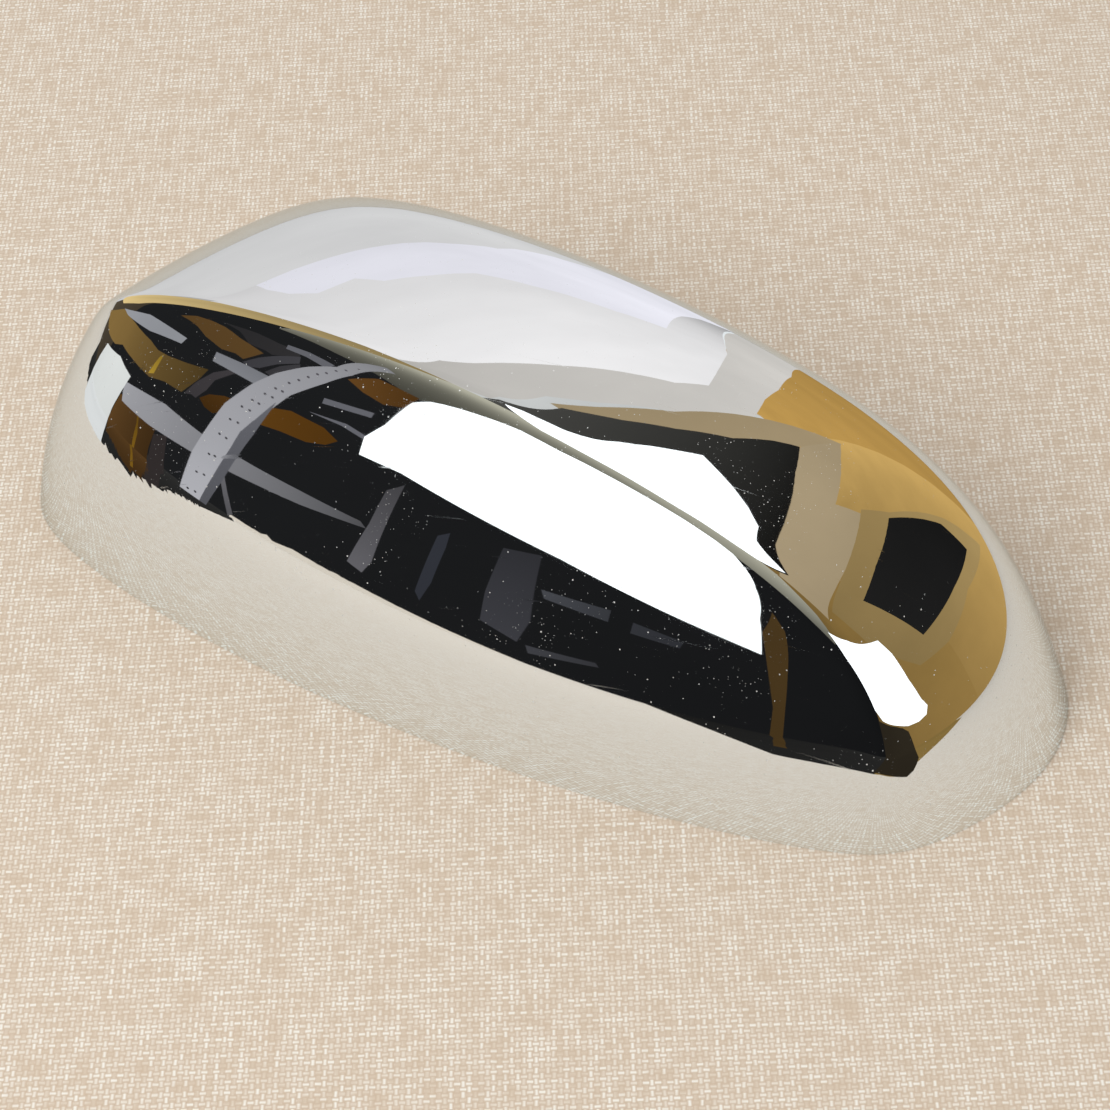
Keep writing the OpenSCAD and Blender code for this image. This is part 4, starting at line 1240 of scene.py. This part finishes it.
class COVER_OT_snap_tabs(Operator):
    """Add the snap tabs that stand round the inside of the rim"""

    bl_idname = "cover.snap_tabs"
    bl_label = "Snap tabs"

    bearings = -152, -112, -62, -30, 8, 44, 88, 124, 170

    def execute(self, context):
        skin, fit = skin_and_fittings(context)
        with moulding_mesh(skin) as bm:
            for bearing in self.bearings:
                add_tab(bm, skin, fit, radians(bearing))
        return {"FINISHED"}


class COVER_OT_locating_pins(Operator):
    """Add the two locating pins with their bosses and fins"""

    bl_idname = "cover.locating_pins"
    bl_label = "Locating pins"

    def execute(self, context):
        skin, fit = skin_and_fittings(context)
        with moulding_mesh(skin) as bm:
            for x in (fit.pin_x, fit.pin_x + fit.pin_pitch):
                add_pin(bm, skin, fit, x)
        return {"FINISHED"}


class COVER_OT_ribs(Operator):
    """Add the stiffening ribs under the crown"""

    bl_idname = "cover.ribs"
    bl_label = "Ribs"

    def execute(self, context):
        skin, fit = skin_and_fittings(context)
        near, far = skin.hub.y + fit.rib_near, skin.hub.y + fit.rib_far
        with moulding_mesh(skin) as bm:
            for x in (-fit.rib_x, fit.rib_x):
                add_rib(bm, skin, fit, (x, near), (x, far))
            add_rib(bm, skin, fit, (fit.pin_x, fit.pin_y), (fit.pin_x + fit.pin_pitch, fit.pin_y))
        return {"FINISHED"}


class COVER_OT_finish(Operator):
    """Smooth the moulding, give it its plating and let it stand for the CAD solid"""

    bl_idname = "cover.finish"
    bl_label = "Finish"

    def execute(self, context):
        skin, fit = skin_and_fittings(context)
        look = context.scene.cover_finish
        moulding = bpy.data.objects[MOULDING]
        mesh = moulding.data
        mesh.polygons.foreach_set("use_smooth", [True] * len(mesh.polygons))
        mesh.set_sharp_from_angle(angle=SHARP_ANGLE)
        self.true_normals(mesh, skin, fit.rim_round)
        dust_group()
        hairline_group()
        cloud_group()
        mesh.materials.append(plated_material(look))
        mesh.materials.append(satin_material(look))
        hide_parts(NODE)
        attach(moulding, "root")
        return {"FINISHED"}

    def true_normals(self, mesh, skin, rim_round):
        """Gives each point of the outside the skin's own direction, so that it mirrors truly"""
        shift = skin.to_frame()
        normals = []
        for v in mesh.vertices:
            p = v.co - shift
            on_skin = p.z > rim_round * ABOVE_ROUNDING and abs(skin.value(*p)) < ON_SKIN
            normals.append(skin.slope(p) if on_skin else (0, 0, 0))
        mesh.normals_split_custom_set_from_vertices(normals)


class COVER_OT_stage(Operator):
    """Set the floor, the lights, the cards that the plating mirrors and the camera"""

    bl_idname = "cover.stage"
    bl_label = "Stage"

    def execute(self, context):
        stage = context.scene.cover_stage
        add_floor(stage)
        for name, card in CARDS.items():
            add_card(name, *card)
        add_post_holes()
        add_lamp(stage)
        set_world(stage)
        add_camera(stage)
        context.scene.view_settings.view_transform = "Standard"
        return {"FINISHED"}


class COVER_PT_panel(Panel):
    """Lists the steps that build the cover"""

    bl_idname = "COVER_PT_panel"
    bl_label = "Mirror Cover"
    bl_space_type = "VIEW_3D"
    bl_region_type = "UI"
    bl_category = "Mirror Cover"

    def draw(self, context):
        for step in STEPS:
            self.layout.operator(step.bl_idname)


GROUPS = {
    "cover_skin": CoverSkinSizes,
    "cover_fittings": CoverFittingSizes,
    "cover_finish": CoverFinish,
    "cover_stage": StageSettings,
}
STEPS = (
    COVER_OT_shell,
    COVER_OT_snap_tabs,
    COVER_OT_locating_pins,
    COVER_OT_ribs,
    COVER_OT_finish,
    COVER_OT_stage,
)


def register():
    for cls in (*GROUPS.values(), *STEPS, COVER_PT_panel):
        bpy.utils.register_class(cls)
    for name, cls in GROUPS.items():
        setattr(bpy.types.Scene, name, PointerProperty(type=cls))


def unregister():
    for name in GROUPS:
        delattr(bpy.types.Scene, name)
    for cls in (COVER_PT_panel, *reversed(STEPS), *reversed(GROUPS.values())):
        bpy.utils.unregister_class(cls)


def main():
    register()
    bpy.ops.cover.shell()
    bpy.ops.cover.snap_tabs()
    bpy.ops.cover.locating_pins()
    bpy.ops.cover.ribs()
    bpy.ops.cover.finish()
    bpy.ops.cover.stage()


if __name__ == "__main__":
    main()
